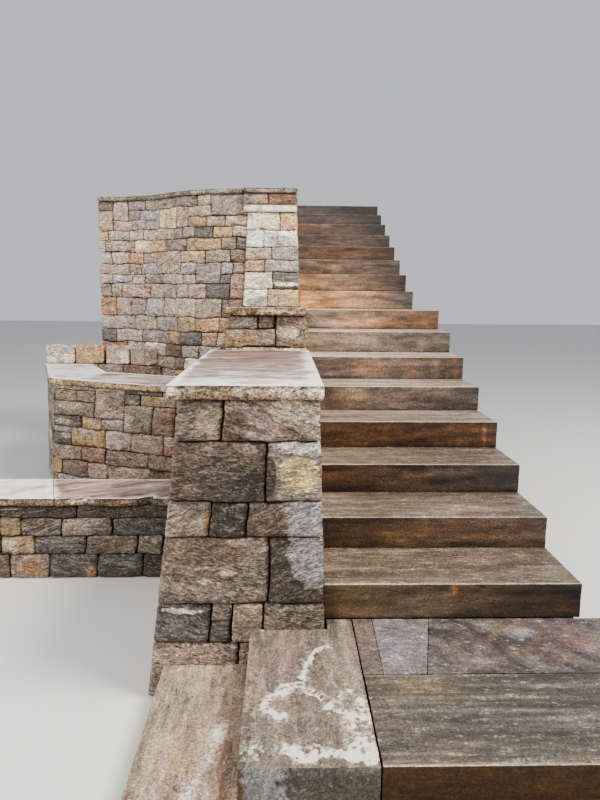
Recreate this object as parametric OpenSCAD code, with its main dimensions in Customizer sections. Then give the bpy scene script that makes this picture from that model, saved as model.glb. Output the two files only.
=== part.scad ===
// Outdoor stone steps: a straight flight of solid block steps beside a stepped cheek wall,
// with a low landing in front, a curved terrace wall, a planter and a garden wall on the left.
// Origin: ground level, centre line of the lower flight, face of the first riser. Uphill is +Y.

/* [Flight] */
// Height of one block step
step_rise = 140; // [120:5:170]
// Distance from one riser to the next
step_going = 370; // [320:5:420]
// How far each block reaches under the next one
block_overlap = 30; // [20:5:60]
// Free right end of the lower blocks, from the centre line
lower_right = 500; // [450:5:600]
// Free right end of the first upper block
upper_right = 371; // [340:1:440]
// How much further right each upper block ends than the one below
upper_drift = 7.6; // [0:0.2:10]
// Face of the cheek wall beside the steps at ground level, left of the centre line
flank_x = 500; // [460:5:560]
// Lean of the cheek wall away from the steps
flank_lean = 0.033; // [0:0.001:0.06]
// Arris chamfer along each nosing
nosing_chamfer = 4; // [2:1:8]
// Inset of the footings behind the free block ends
footing_inset = 25; // [10:5:60]

/* [Landing] */
// Depth of the paved strip between the front block and the first riser
landing_depth = 377; // [330:1:450]
// Depth of the front block
front_block_depth = 433; // [380:1:500]
// Width of the block that edges the landing on the left
side_block_w = 388; // [350:1:450]
// Distance of the side block's right edge from the centre line
side_block_right = 402; // [360:1:420]
// Right end of the landing, from the centre line
landing_right = 607; // [560:1:700]
// Thickness of the landing slabs
slab_t = 40; // [30:5:60]
// Width of the narrow slab next to the side block
slab_a_w = 65; // [50:1:110]
// Width of the pale slab beside it, at its front
slab_b_w = 143; // [120:1:200]
// Shift of the first seam between the landing slabs over their depth
seam_a_shift = 9; // [0:1:20]
// Shift of the second seam over their depth
seam_b_shift = 85; // [60:1:100]
// Open joint between neighbouring slabs and blocks
joint = 4; // [3:1:6]
// Left end of the lower step, from the centre line
lower_step_left = 1118; // [1050:1:1200]
// Tread of the lower step in front of the landing
lower_step_going = 370; // [320:5:420]

/* [Cheek wall] */
// Front face of the lowest wall part at the ground, in front of the first riser
pier_front = 80; // [60:5:120]
// Lean of that front face
pier_front_lean = 0.012; // [0:0.001:0.05]
// Left face of the lowest wall part at the ground, from the centre line
pier_left = 1184; // [1120:1:1260]
// Lean of the left faces of the lower and middle parts
pier_left_lean = 0.122; // [0.05:0.001:0.15]
// Height of the lowest wall part
pier_h = 1160; // [1100:5:1220]
// End of the lowest part uphill
pier_back = 1300; // [1200:5:1400]
// Thickness of the lowest cap slab
pier_cap_t = 50; // [40:1:70]
// Overhang of the lowest cap at the front
pier_cap_front = 48; // [20:1:70]
// Overhang of the lowest cap on the left
pier_cap_left = 36; // [20:1:60]
// Overhang of the lowest cap on the right
pier_cap_right = 10; // [4:1:20]
// Step back of the middle part's left face
middle_inset = 34; // [10:1:60]
// Height of the middle wall part at its front
middle_h = 1403; // [1340:1:1480]
// Fall of the middle cap towards the back
middle_fall = 35; // [0:1:60]
// Thickness of the middle cap slabs
middle_cap_t = 40; // [30:1:55]
// Overhang of the middle cap at its front
middle_cap_front = 40; // [20:1:60]
// Overhang of the middle cap on the left
middle_cap_left = 20; // [5:1:40]
// Length of the first middle cap slab
middle_slab_len = 900; // [700:10:1100]

/* [Upper pier] */
// Front face of the upper pier at its top, behind the first riser
upper_front = 2940; // [2880:5:3000]
// Lean of the upper pier's front and of the terrace wall
terrace_lean = 0.03; // [0.01:0.005:0.06]
// Depth of the upper pier along the flight
upper_pier_depth = 450; // [350:10:600]
// Left face of the upper pier at the ground, from the centre line
upper_left = 1070; // [1040:1:1120]
// Lean of the upper pier's left face
upper_left_lean = 0.0545; // [0.02:0.0005:0.07]
// Height of the upper pier below its band
upper_pier_h = 2145; // [2080:5:2200]
// Thickness of the pale band on the upper pier
band_t = 50; // [40:1:65]
// Reach of the band beyond the pier on the left and at the front
band_reach = 28; // [10:1:40]
// Height of the course above the band
head_h = 90; // [70:1:120]

/* [Terrace wall] */
// Run of the curved wall from its left end to the pier, across the view
terrace_run = 1330; // [1200:10:1500]
// Set-back of the left end of the wall behind its right end
terrace_setback = 570; // [450:10:650]
// Set-back of the wall's right end behind the pier front
terrace_reveal = 28; // [20:1:60]
// Thickness of the terrace wall at its top
terrace_t = 400; // [300:10:450]
// Thickness of the terrace cap slabs
terrace_cap_t = 34; // [28:1:45]
// Overhang of the terrace cap
terrace_cap_reach = 24; // [10:1:40]
// Thickness of the wall that runs back along the upper flight
flank_t = 440; // [350:10:500]

/* [Planter] */
// Height of the planter wall and of the ledge behind it
planter_h = 853; // [800:1:900]
// Thickness of the planter cap slabs
planter_cap_t = 42; // [32:1:50]
// Overhang of the planter cap
planter_cap_reach = 28; // [10:1:40]
// Thickness of the planter wall at its top
planter_t = 440; // [350:10:500]
// Lean of the planter wall's face
planter_lean = 0.04; // [0:0.005:0.08]
// Distance of the planter's outer corner left of the centre line
planter_corner_x = 2345; // [2250:5:2400]
// Distance of the planter's outer corner behind the first riser
planter_corner_y = 2425; // [2350:5:2500]
// Turn of the planter's front away from the line of the risers, in degrees
planter_front_angle = 23.3; // [15:0.1:30]
// Turn of the planter's left side away from the flight's direction, in degrees
planter_side_angle = 21; // [10:0.5:25]
// Radius of the planter's outer corner
planter_round = 110; // [60:5:160]
// Depth of the ledge that carries the edging blocks
ledge_depth = 118; // [90:1:150]
// Height of the edging blocks
edging_h = 160; // [120:5:180]
// Length of the edging blocks on the straight part of the ledge
edging_len = 246; // [200:1:260]
// Length of the edging blocks on its curved part
edging_short = 220; // [180:1:225]
// Radius of the front corners of the edging blocks
edging_round = 14; // [6:1:25]
// Distance of the seam in the planter cap from the outer corner, at the front
planter_seam = 150; // [60:5:250]
// The same at the back
planter_seam_back = 57; // [20:1:120]
// Width of the planter's side wall
planter_side_t = 320; // [280:5:360]

/* [Garden wall] */
// Front face of the garden wall behind the first riser, at its top
garden_front = 1000; // [900:5:1100]
// Thickness of the garden wall
garden_t = 320; // [250:5:400]
// Height of the garden wall below its cap
garden_h = 408; // [360:1:440]
// Left end of the garden wall, from the centre line
garden_left = 2400; // [2250:10:2500]
// Lean of the garden wall's face
garden_lean = 0.03; // [0:0.005:0.06]
// Thickness of the garden wall's cap
garden_cap_t = 42; // [32:1:50]
// Overhang of the garden cap at front, back and left end
garden_cap_reach = 32; // [10:1:45]
// Position of the seam between the two garden cap slabs, from the centre line
garden_seam_x = 1868; // [1700:1:2000]
// Shift of that seam over the depth of the cap
garden_seam_shift = 130; // [0:5:160]

/* [Hidden] */
$fn = 180;
// Number of block steps from the landing up, and of those in the wider lower flight
step_count = 16;
lower_count = 8;

// Levels
lower_step_z = step_rise;
landing_z = 2 * step_rise;
block_depth = step_going + block_overlap;
flight_end = step_count * step_going + block_overlap;
// Levels and planes of the walls
middle_back_h = middle_h - middle_fall;
band_z = upper_pier_h;
head_z = band_z + band_t;
terrace_h = head_z + head_h;
terrace_top = terrace_h + terrace_cap_t;
// A length and a height that reach past everything, for cuts
beyond = 2 * flight_end;
above = terrace_top + step_rise;
ledge_h = planter_h + planter_cap_t;
upper_pier_back = upper_front + upper_pier_depth;
landing_left = side_block_right - joint;
side_block_left = side_block_right + side_block_w;
landing_front = landing_depth + joint + front_block_depth;

// Reverse curve of the terrace wall: two equal arcs that meet on one radial line
terrace_turn = 2 * atan(terrace_setback / terrace_run);
terrace_r = terrace_run / (2 * sin(terrace_turn));
terrace_right = upper_left - upper_left_lean * terrace_h;
terrace_face_y = upper_front + terrace_reveal;
terrace_left = terrace_right + terrace_run;
concave_centre = [-terrace_left, terrace_face_y + terrace_setback - terrace_r];
convex_centre = [-terrace_right, terrace_face_y + terrace_r];

function level(i) = landing_z + (i - 1) * step_rise;
function riser_y(i) = (i - 1) * step_going;
function flank_at(z) = -(flank_x + flank_lean * z);
function block_right(i) = i <= lower_count ? lower_right : upper_right + (i - lower_count - 1) * upper_drift;
function upper_at(z) = -(upper_left - upper_left_lean * z);
function pier_at(z) = -(pier_left - pier_left_lean * z);
function middle_at(z) = -(pier_left - middle_inset - pier_left_lean * z);

// Straight solid from a profile drawn across (Y, Z), running from x0 to x1
module run_x(x0, x1, profile) {
    translate([x0, 0, 0]) rotate([90, 0, 90]) linear_extrude(x1 - x0) polygon(profile);
}

// Straight solid from a profile drawn across (X, Z), running from y0 to y1
module run_y(y0, y1, profile) {
    translate([0, y1, 0]) rotate([90, 0, 0]) linear_extrude(y1 - y0) polygon(profile);
}

// Flat slab from an outline drawn in plan
module slab(z, t, outline) {
    translate([0, 0, z]) linear_extrude(t) polygon(outline);
}

// One block step: a sawn stone with a small chamfer along its nosing
module block_step(i) {
    z = level(i);
    y = riser_y(i);
    left = flank_at(z);
    run_x(left, block_right(i), [
        [y, z], [y + block_depth, z], [y + block_depth, z + step_rise],
        [y + nosing_chamfer, z + step_rise], [y, z + step_rise - nosing_chamfer]
    ]);
}

// Stepped outline of the footing under blocks a to b, as (Y, Z) points
function stair_line(a, b) = [
    for (i = [a : b]) each [[riser_y(i) + (i == a ? 0 : block_overlap), level(i)],
                            [riser_y(i) + block_depth, level(i)]]
];

module lower_footing() color("dimgray") {
    union() {
        intersection() {
            run_x(-beyond, beyond, concat([[0, 0]], stair_line(1, lower_count),
                                      [[riser_y(lower_count) + block_depth, 0]]));
            run_y(-beyond, beyond, [
                [flank_at(0), 0], [lower_right - footing_inset, 0],
                [lower_right - footing_inset, above], [flank_at(above), above]
            ]);
        }
        translate([-landing_left, -landing_depth, 0])
            cube([landing_left + landing_right - footing_inset, landing_depth, landing_z - slab_t]);
    }
}

module upper_footing() color("dimgray") {
    start = riser_y(lower_count) + block_depth;
    intersection() {
        run_x(-beyond, beyond, concat([[start, 0], [start, level(lower_count + 1)]],
                                  [for (p = stair_line(lower_count + 1, step_count)) if (p[0] > start) p],
                                  [[flight_end, 0]]));
        run_y(-beyond, beyond, [
            [flank_at(0), 0], [upper_right - footing_inset, 0],
            [upper_right - footing_inset, above], [flank_at(above), above]
        ]);
    }
}

// Footing under the front and side blocks, one riser high
module landing_footing() color("dimgray") {
    right = landing_right - footing_inset;
    slab(0, lower_step_z, [
        [-side_block_left + footing_inset, -landing_front + block_overlap],
        [right, -landing_front + block_overlap],
        [right, -landing_depth], [-landing_left - joint, -landing_depth],
        [-landing_left - joint, 0], [flank_at(0), 0], [flank_at(0), -pier_front],
        [-side_block_left + footing_inset, -pier_front]
    ]);
}

module side_block() color("rosybrown")
    slab(lower_step_z, step_rise, [
        [-side_block_left, -landing_front], [-side_block_right, -landing_front],
        [-side_block_right, -joint], [-flank_x, -joint],
        [-flank_x, -pier_front], [-side_block_left, -pier_front]
    ]);

module front_block() color("tan")
    translate([-landing_left, -landing_front, lower_step_z])
        cube([landing_left + landing_right, front_block_depth, step_rise]);

// Three landing slabs with open joints, the seams slanting
module landing_slabs() color("thistle") {
    z = landing_z - slab_t;
    a0 = -landing_left;
    a1 = a0 + slab_a_w;
    b0 = a1 + joint;
    b1 = b0 + slab_b_w;
    c0 = b1 + joint;
    slab(z, slab_t, [[a0, -landing_depth], [a1, -landing_depth], [a1 + seam_a_shift, -joint], [a0, -joint]]);
    slab(z, slab_t, [
        [b0, -landing_depth], [b1, -landing_depth], [b1 + seam_b_shift, -joint], [b0 + seam_a_shift, -joint]
    ]);
    slab(z, slab_t, [
        [c0, -landing_depth], [landing_right, -landing_depth], [landing_right, -joint], [c0 + seam_b_shift, -joint]
    ]);
}

// The lower step wraps round the landing's left side and front
module lower_step_side() color("tan")
    slab(0, lower_step_z, [
        [-lower_step_left, -landing_front + block_overlap],
        [-side_block_left + footing_inset, -landing_front + block_overlap],
        [-side_block_left + footing_inset, -pier_front], [-lower_step_left, -pier_front]
    ]);

module lower_step_front() color("tan")
    translate([-lower_step_left, -landing_front - lower_step_going, 0])
        cube([lower_step_left + landing_right, lower_step_going + block_overlap - joint, lower_step_z]);

// Lowest part of the cheek wall, leaning in on three sides
module lower_pier() color("gray")
    intersection() {
        run_x(-beyond, 0, [
            [-pier_front, 0], [pier_back, 0], [pier_back, pier_h],
            [-pier_front + pier_front_lean * pier_h, pier_h]
        ]);
        run_y(-beyond, beyond, [
            [pier_at(0), 0], [flank_at(0), 0], [flank_at(pier_h), pier_h], [pier_at(pier_h), pier_h]
        ]);
    }

module lower_cap() color("silver") {
    front = -pier_front + pier_front_lean * pier_h - pier_cap_front;
    slab(pier_h, pier_cap_t, [
        [pier_at(pier_h) - pier_cap_left, front], [flank_at(pier_h) + pier_cap_right, front],
        [flank_at(pier_h) + pier_cap_right, pier_back], [pier_at(pier_h) - pier_cap_left, pier_back]
    ]);
}

// Plane of the upper pier's front face
function upper_front_at(z) = upper_front - terrace_lean * (upper_pier_h - z);

module middle_wall() color("gray")
    intersection() {
        run_x(-beyond, 0, [
            [pier_back, 0], [upper_front_at(0), 0],
            [upper_front_at(middle_back_h), middle_back_h], [pier_back, middle_h]
        ]);
        run_y(0, beyond, [
            [middle_at(0), 0], [flank_at(0), 0], [flank_at(above), above], [middle_at(above), above]
        ]);
    }

// Two cap slabs laid to a slight fall
module middle_cap() color("silver") {
    x0 = middle_at(middle_h) - middle_cap_left;
    x1 = flank_at(middle_h);
    y0 = pier_back - middle_cap_front;
    y1 = pier_back + middle_slab_len;
    y2 = upper_front_at(middle_back_h);
    slope = middle_fall / (y2 - pier_back);
    run_x(x0, x1, middle_cap_profile(y0, y1, slope));
    run_x(x0, x1, middle_cap_profile(y1 + joint, y2, slope));
}

function middle_cap_z(y, slope) = middle_h - slope * (y - pier_back);
function middle_cap_profile(ya, yb, slope) = [
    [ya, middle_cap_z(ya, slope)], [yb, middle_cap_z(yb, slope)],
    [yb, middle_cap_z(yb, slope) + middle_cap_t], [ya, middle_cap_z(ya, slope) + middle_cap_t]
];

module upper_pier() color("wheat")
    intersection() {
        run_x(-beyond, 0, [
            [upper_front_at(0), 0], [upper_pier_back, 0],
            [upper_pier_back, upper_pier_h], [upper_front_at(upper_pier_h), upper_pier_h]
        ]);
        run_y(0, beyond, [
            [upper_at(0), 0], [flank_at(0), 0],
            [flank_at(upper_pier_h), upper_pier_h], [upper_at(upper_pier_h), upper_pier_h]
        ]);
    }

module pier_block(z, h, reach) {
    translate([upper_at(band_z) - reach, upper_front - reach, z])
        cube([flank_at(band_z) - upper_at(band_z) + reach, upper_pier_depth + reach, h]);
}

module pier_band() color("linen") pier_block(band_z, band_t, band_reach);
module pier_head() color("burlywood") pier_block(head_z, head_h, band_reach);

// Wall that runs back along the upper flight
module flank_wall() color("tan")
    intersection() {
        translate([-beyond, upper_pier_back, 0]) cube([beyond, flight_end - upper_pier_back, terrace_h]);
        run_y(0, beyond, [
            [flank_at(terrace_h) - flank_t, 0], [flank_at(0), 0],
            [flank_at(above), above], [flank_at(terrace_h) - flank_t, above]
        ]);
    }

// Sector swept about a centre, from a profile drawn across (radius, Z)
module sweep(centre, from, turn, profile) {
    translate([centre[0], centre[1], 0]) rotate([0, 0, from]) rotate_extrude(angle = turn) polygon(profile);
}

// Profiles of the two arcs. The face leans back, so the foot stands nearer the viewer.
function concave_profile(z0, z1, front, back) = [
    [terrace_r - terrace_lean * (terrace_h - z0) - front, z0], [terrace_r + back, z0],
    [terrace_r + back, z1], [terrace_r - terrace_lean * (terrace_h - z1) - front, z1]
];
function convex_profile(z0, z1, front, back) = [
    [terrace_r - back, z0], [terrace_r + terrace_lean * (terrace_h - z0) + front, z0],
    [terrace_r + terrace_lean * (terrace_h - z1) + front, z1], [terrace_r - back, z1]
];

// Space that the pier and the flank wall take up, cut from the curved wall
module pier_space() {
    run_y(0, beyond, [
        [upper_at(-1), -1], [0, -1], [0, above], [upper_at(above), above]
    ]);
    translate([flank_at(terrace_h) - flank_t, upper_pier_back, -1]) cube([beyond, beyond, above]);
    translate([upper_at(band_z) - band_reach, 0, band_z]) cube([beyond, beyond, above]);
}

module terrace_wall_left() color("tan")
    sweep(concave_centre, 90 - terrace_turn, terrace_turn, concave_profile(0, terrace_h, 0, terrace_t));

module terrace_wall_right() color("tan")
    difference() {
        sweep(convex_centre, 270 - terrace_turn, terrace_turn, convex_profile(0, terrace_h, 0, terrace_t));
        pier_space();
    }

// Cap slabs over the curve, two to each arc, with open joints between them
module terrace_cap() color("peru") {
    z = terrace_h;
    t = terrace_cap_t;
    reach = terrace_cap_reach;
    gap_angle = joint / terrace_r * 180 / PI;
    half = terrace_turn / 2;
    for (k = [0 : 1])
        sweep(concave_centre, 90 - terrace_turn + k * half, half - gap_angle,
              concave_profile_flat(z, z + t, reach, terrace_t));
    difference() {
        for (k = [0 : 1])
            sweep(convex_centre, 270 - terrace_turn + k * half, half - gap_angle,
                  convex_profile_flat(z, z + t, reach, terrace_t));
        translate([upper_at(band_z) - band_reach - joint, 0, z - 1]) cube([beyond, beyond, above]);
    }
}

// Cap slab on the pier's head
module pier_cap() color("peru")
    translate([upper_at(band_z) - band_reach, upper_front - band_reach - terrace_cap_reach, terrace_h])
        cube([flank_at(band_z) - upper_at(band_z) + band_reach,
              upper_pier_depth + band_reach + terrace_cap_reach - joint, terrace_cap_t]);

function concave_profile_flat(z0, z1, front, back) =
    [[terrace_r - front, z0], [terrace_r + back, z0], [terrace_r + back, z1], [terrace_r - front, z1]];
function convex_profile_flat(z0, z1, front, back) =
    [[terrace_r - back, z0], [terrace_r + front, z0], [terrace_r + front, z1], [terrace_r - back, z1]];

module flank_cap() color("peru")
    translate([flank_at(terrace_h) - flank_t, upper_pier_back, terrace_h])
        cube([flank_t - joint, flight_end - upper_pier_back, terrace_cap_t]);

// Ledge in front of the terrace wall's left part that carries the edging blocks.
// It runs on to the left of the wall, far enough for two straight blocks.
edging_gap = 2 * joint;
edging_over = 48;
edging_setback = 12;
ledge_r = terrace_r - terrace_lean * (terrace_h - ledge_h);
ledge_straight = 2 * (edging_len + edging_gap) - edging_over;
edging_r = ledge_r - edging_setback - ledge_depth;
edging_pitch = 2 * atan((edging_short / 2 + joint) / edging_r);
edging_start = atan((edging_over + joint) / edging_r) + edging_pitch / 2;
ledge_turn = min(ceil(edging_start + 1.6 * edging_pitch), terrace_turn);
ledge_front_y = concave_centre[1] + ledge_r - ledge_depth;

module terrace_ledge() color("gray") {
    sweep(concave_centre, 90 - ledge_turn, ledge_turn, [
        [ledge_r - ledge_depth, 0], [terrace_r - terrace_lean * terrace_h, 0],
        [ledge_r, ledge_h], [ledge_r - ledge_depth, ledge_h]
    ]);
    run_x(-terrace_left - ledge_straight, -terrace_left - joint, [
        [ledge_front_y, 0], [concave_centre[1] + terrace_r - terrace_lean * terrace_h, 0],
        [concave_centre[1] + ledge_r, ledge_h], [ledge_front_y, ledge_h]
    ]);
}

// One edging block with rounded front corners, its back on the line y = 0
module edging_block(len) {
    r = edging_round;
    d = ledge_depth - joint / 2;
    translate([-len / 2, -ledge_depth, 0]) linear_extrude(edging_h) {
        translate([r, 0]) square([len - 2 * r, d]);
        translate([0, r]) square([len, d - r]);
        translate([r, r]) circle(r);
        translate([len - r, r]) circle(r);
    }
}

module edging_blocks() color("burlywood") {
    for (k = [0 : 1])
        translate([-terrace_left - ledge_straight + edging_len / 2 + k * (edging_len + edging_gap),
                   concave_centre[1] + ledge_r, ledge_h])
            edging_block(edging_len);
    for (k = [0 : 1])
        translate([concave_centre[0], concave_centre[1], ledge_h])
            rotate([0, 0, -edging_start - k * edging_pitch])
                translate([0, ledge_r - edging_setback, 0]) edging_block(edging_short);
}

// Planter wall: two straight legs and a rounded corner between them
front_dir = -planter_front_angle;
side_dir = -(90 - planter_side_angle);
corner_turn = front_dir - side_dir;
corner_back = planter_round * tan(corner_turn / 2);
front_start = [-planter_corner_x + corner_back * cos(front_dir), planter_corner_y + corner_back * sin(front_dir)];
side_end = [-planter_corner_x - corner_back * cos(side_dir), planter_corner_y - corner_back * sin(side_dir)];
corner_centre = [front_start[0] - planter_round * sin(front_dir), front_start[1] + planter_round * cos(front_dir)];
front_len = 1.3 * terrace_run;
side_len = 1.2 * terrace_run;

// Leg that runs along +X before it is turned, with its leaning face towards -Y
module leg(start, dir, len, profile) {
    translate([start[0], start[1], 0]) rotate([0, 0, dir]) run_x(0, len, profile);
}

function planter_profile(z0, z1, front, back) = [
    [-planter_lean * (planter_h - z0) - front, z0], [back, z0],
    [back, z1], [-planter_lean * (planter_h - z1) - front, z1]
];

module planter_front() color("tan")
    difference() {
        union() {
            leg(front_start, front_dir, front_len, planter_profile(0, planter_h, 0, planter_t));
            sweep(corner_centre, front_dir - 90 - corner_turn, corner_turn, [
                [0, 0], [planter_round + planter_lean * planter_h, 0], [planter_round, planter_h], [0, planter_h]
            ]);
        }
        // The cheek wall stands here
        run_y(0, beyond, [[middle_at(-1), -1], [0, -1], [0, above], [middle_at(above), above]]);
    }

module planter_side() color("tan")
    difference() {
        translate([side_end[0], side_end[1], 0]) rotate([0, 0, side_dir])
            run_x(-side_len, 0, planter_profile(0, planter_h, 0, planter_side_t));
        // The ledge stands here
        translate([-beyond, ledge_front_y, -1]) cube([beyond, beyond, above]);
        // The front leg stands here
        translate([front_start[0], front_start[1], -1]) rotate([0, 0, front_dir])
            translate([0, -beyond, 0]) cube([beyond, beyond + planter_t, above]);
        sweep(corner_centre, front_dir - 90 - corner_turn, corner_turn, [
            [0, -1], [2 * planter_round, -1], [2 * planter_round, above], [0, above]
        ]);
    }

// Cap of the planter: a long slab on the front leg and one that turns the corner
module planter_cap() color("peru") {
    reach = planter_cap_reach;
    cd = [cos(front_dir), sin(front_dir)];
    cn = [sin(front_dir), -cos(front_dir)];
    sd = [cos(side_dir), sin(side_dir)];
    sn = [sin(side_dir), -cos(side_dir)];
    outer_front = front_start + reach * cn;
    outer_side = side_end + reach * sn;
    inner_front = front_start - (planter_t + reach) * cn;
    inner_side = side_end - (planter_side_t + reach) * sn;
    wall_x = middle_at(ledge_h) - joint / 2;
    far_outer = outer_front + (wall_x - outer_front[0]) / cd[0] * cd;
    far_inner = inner_front + (wall_x - inner_front[0]) / cd[0] * cd;
    back_outer = outer_side + (ledge_front_y - outer_side[1]) / sd[1] * sd;
    back_inner = inner_side + (ledge_front_y - inner_side[1]) / sd[1] * sd;
    slab(planter_h, planter_cap_t, [
        outer_front + planter_seam * cd, far_outer, far_inner, inner_front + planter_seam_back * cd
    ]);
    slab(planter_h, planter_cap_t, [
        back_outer, outer_side, outer_front, outer_front + (planter_seam - joint) * cd,
        inner_front + (planter_seam_back - joint) * cd, back_inner
    ]);
}

module garden_wall() color("gray")
    intersection() {
        run_x(-garden_left, 0, [
            [garden_front - garden_lean * garden_h, 0], [garden_front + garden_t, 0],
            [garden_front + garden_t, garden_h], [garden_front, garden_h]
        ]);
        run_y(0, beyond, [
            [-beyond, 0], [pier_at(0), 0], [pier_at(above), above], [-beyond, above]
        ]);
    }

// Two cap slabs with a slanting joint
module garden_cap() color("peru") {
    y0 = garden_front - garden_cap_reach;
    y1 = garden_front + garden_t + garden_cap_reach / 2;
    x1 = pier_at(garden_h) - joint / 4;
    slab(garden_h, garden_cap_t, [
        [-garden_seam_x, y0], [x1, y0], [x1, y1], [-garden_seam_x - garden_seam_shift, y1]
    ]);
    slab(garden_h, garden_cap_t, [
        [-garden_left - garden_cap_reach, y0], [-garden_seam_x - joint, y0],
        [-garden_seam_x - garden_seam_shift - joint, y1], [-garden_left - garden_cap_reach, y1]
    ]);
}

lower_footing();
upper_footing();
landing_footing();
color("saddlebrown") block_step(1);  // step_01
color("saddlebrown") block_step(2);  // step_02
color("saddlebrown") block_step(3);  // step_03
color("saddlebrown") block_step(4);  // step_04
color("sienna") block_step(5);  // step_05
color("sienna") block_step(6);  // step_06
color("sienna") block_step(7);  // step_07
color("sienna") block_step(8);  // step_08
color("peru") block_step(9);  // step_09
color("peru") block_step(10);  // step_10
color("sienna") block_step(11);  // step_11
color("sienna") block_step(12);  // step_12
color("saddlebrown") block_step(13);  // step_13
color("saddlebrown") block_step(14);  // step_14
color("saddlebrown") block_step(15);  // step_15
color("saddlebrown") block_step(16);  // step_16
side_block();
front_block();
landing_slabs();
lower_step_side();
lower_step_front();
lower_pier();
lower_cap();
middle_wall();
middle_cap();
upper_pier();
pier_band();
pier_head();
flank_wall();
terrace_wall_left();
terrace_wall_right();
terrace_cap();
pier_cap();
flank_cap();
terrace_ledge();
edging_blocks();
planter_front();
planter_side();
planter_cap();
garden_wall();
garden_cap();
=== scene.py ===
import math
import random

import bmesh
import bpy
from mathutils import Matrix, Vector, noise


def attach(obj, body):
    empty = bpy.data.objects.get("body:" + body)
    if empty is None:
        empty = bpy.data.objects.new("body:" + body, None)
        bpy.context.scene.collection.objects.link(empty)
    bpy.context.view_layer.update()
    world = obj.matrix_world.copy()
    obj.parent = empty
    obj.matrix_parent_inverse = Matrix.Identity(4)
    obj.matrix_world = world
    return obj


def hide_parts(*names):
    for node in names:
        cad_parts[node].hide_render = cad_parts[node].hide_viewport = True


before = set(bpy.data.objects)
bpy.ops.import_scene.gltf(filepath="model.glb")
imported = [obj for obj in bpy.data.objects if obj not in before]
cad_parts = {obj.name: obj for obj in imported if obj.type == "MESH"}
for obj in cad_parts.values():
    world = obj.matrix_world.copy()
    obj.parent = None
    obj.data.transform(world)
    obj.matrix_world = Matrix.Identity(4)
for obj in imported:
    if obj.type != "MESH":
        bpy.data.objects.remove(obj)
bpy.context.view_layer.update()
noise.seed_set(5)  # else noise_vector starts from the clock and every run differs

# The footings: coursed rubble that carries the blocks and shows only on the flight's right
# side and at its back. Every wall here is laid the same way: a mortared heart, and one by
# one the split stones in front of it, bedded in courses that share their joints at corners.
RISE, GOING, OVERLAP = 0.14, 0.37, 0.03
LANDING_Z = 2 * RISE
FLIGHT_END = 16 * GOING + OVERLAP
WALL_END = FLIGHT_END - 0.016
FRONT_Y, STRIP_Y, RISER_FOOT_Y = -0.814, -0.377, -0.004


def srgb(r, g, b):
    """A stone's colour as the eye reads it, 0 to 255, turned into the scene's own scale."""
    return tuple((((c / 255) + 0.055) / 1.055) ** 2.4 for c in (r, g, b))


ROCK = {
    "cream": srgb(198, 182, 158),
    "white": srgb(206, 200, 190),
    "tan": srgb(158, 139, 121),
    "ochre": srgb(164, 136, 100),
    "golden": srgb(146, 120, 84),
    "straw": srgb(206, 184, 138),
    "orange": srgb(162, 124, 92),
    "pink": srgb(166, 144, 131),
    "red": srgb(138, 108, 92),
    "mauve": srgb(140, 124, 116),
    "grey": srgb(152, 143, 134),
    "olive": srgb(134, 118, 102),
    "brown": srgb(108, 90, 75),
    "bark": srgb(98, 83, 70),
    "dark": srgb(78, 67, 58),
    "slate": srgb(93, 87, 81),
    "steel": srgb(152, 148, 146),
}
MIXED = ["tan", "tan", "olive", "ochre", "grey", "grey", "pink", "mauve", "brown", "cream", "slate", "red",
         "tan"]


class Wire:
    """A value or colour in a shader tree. Arithmetic on wires places the nodes that work it out."""

    def __init__(self, tree, socket):
        self.tree, self.socket = tree, socket

    def worked(self, kind, a, b=0.0):
        return wire(self.tree, "ShaderNodeMath", {0: a, 1: b}, operation=kind)

    def __add__(self, other):
        return self.worked("ADD", self, other)

    def __sub__(self, other):
        return self.worked("SUBTRACT", self, other)

    def __rsub__(self, other):
        return self.worked("SUBTRACT", other, self)

    def __mul__(self, other):
        return self.worked("MULTIPLY", self, other)

    def __abs__(self):
        return self.worked("ABSOLUTE", self)


def put(tree, kind, values=None, **settings):
    """Adds one shader node, with its settings, and links or sets its named inputs."""
    made = tree.nodes.new(kind)
    for key, value in settings.items():
        setattr(made, key, value)
    for key, value in (values or {}).items():
        if isinstance(value, Wire):
            tree.links.new(value.socket, made.inputs[key])
        else:
            made.inputs[key].default_value = value
    return made


def wire(tree, kind, values=None, result=0, **settings):
    """Adds one shader node and gives the wire that leaves it."""
    return Wire(tree, put(tree, kind, values, **settings).outputs[result])


def ramp(value, low, high, top=1.0):
    """A soft threshold: 0 below low, top above high."""
    ends = {"Value": value, "From Min": low, "From Max": high, "To Max": top}
    return wire(value.tree, "ShaderNodeMapRange", ends, interpolation_type="SMOOTHSTEP")


def lift(value, low, high):
    """Spreads the middle of a noise over low to high."""
    ends = {"Value": value, "From Min": 0.33, "From Max": 0.67, "To Min": low, "To Max": high}
    return wire(value.tree, "ShaderNodeMapRange", ends)


def blend(share, a, b, kind="MIX"):
    """Mixes two colours. The sockets 0, 6, 7 and 2 are the node's share, colours and result."""
    tree = next(one.tree for one in (share, a, b) if isinstance(one, Wire))
    a, b = (one if isinstance(one, Wire) else (*one, 1) for one in (a, b))
    return wire(tree, "ShaderNodeMix", {0: share, 6: a, 7: b}, 2, data_type="RGBA", blend_type=kind)


def shaded(color, value):
    """Scales a colour by a value."""
    return wire(color.tree, "ShaderNodeVectorMath", {0: color, "Scale": value}, operation="SCALE")


def vector_step(kind, a, b):
    """One step of arithmetic on a vector wire."""
    return wire(a.tree, "ShaderNodeVectorMath", {0: a, 1: b}, operation=kind)


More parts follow.
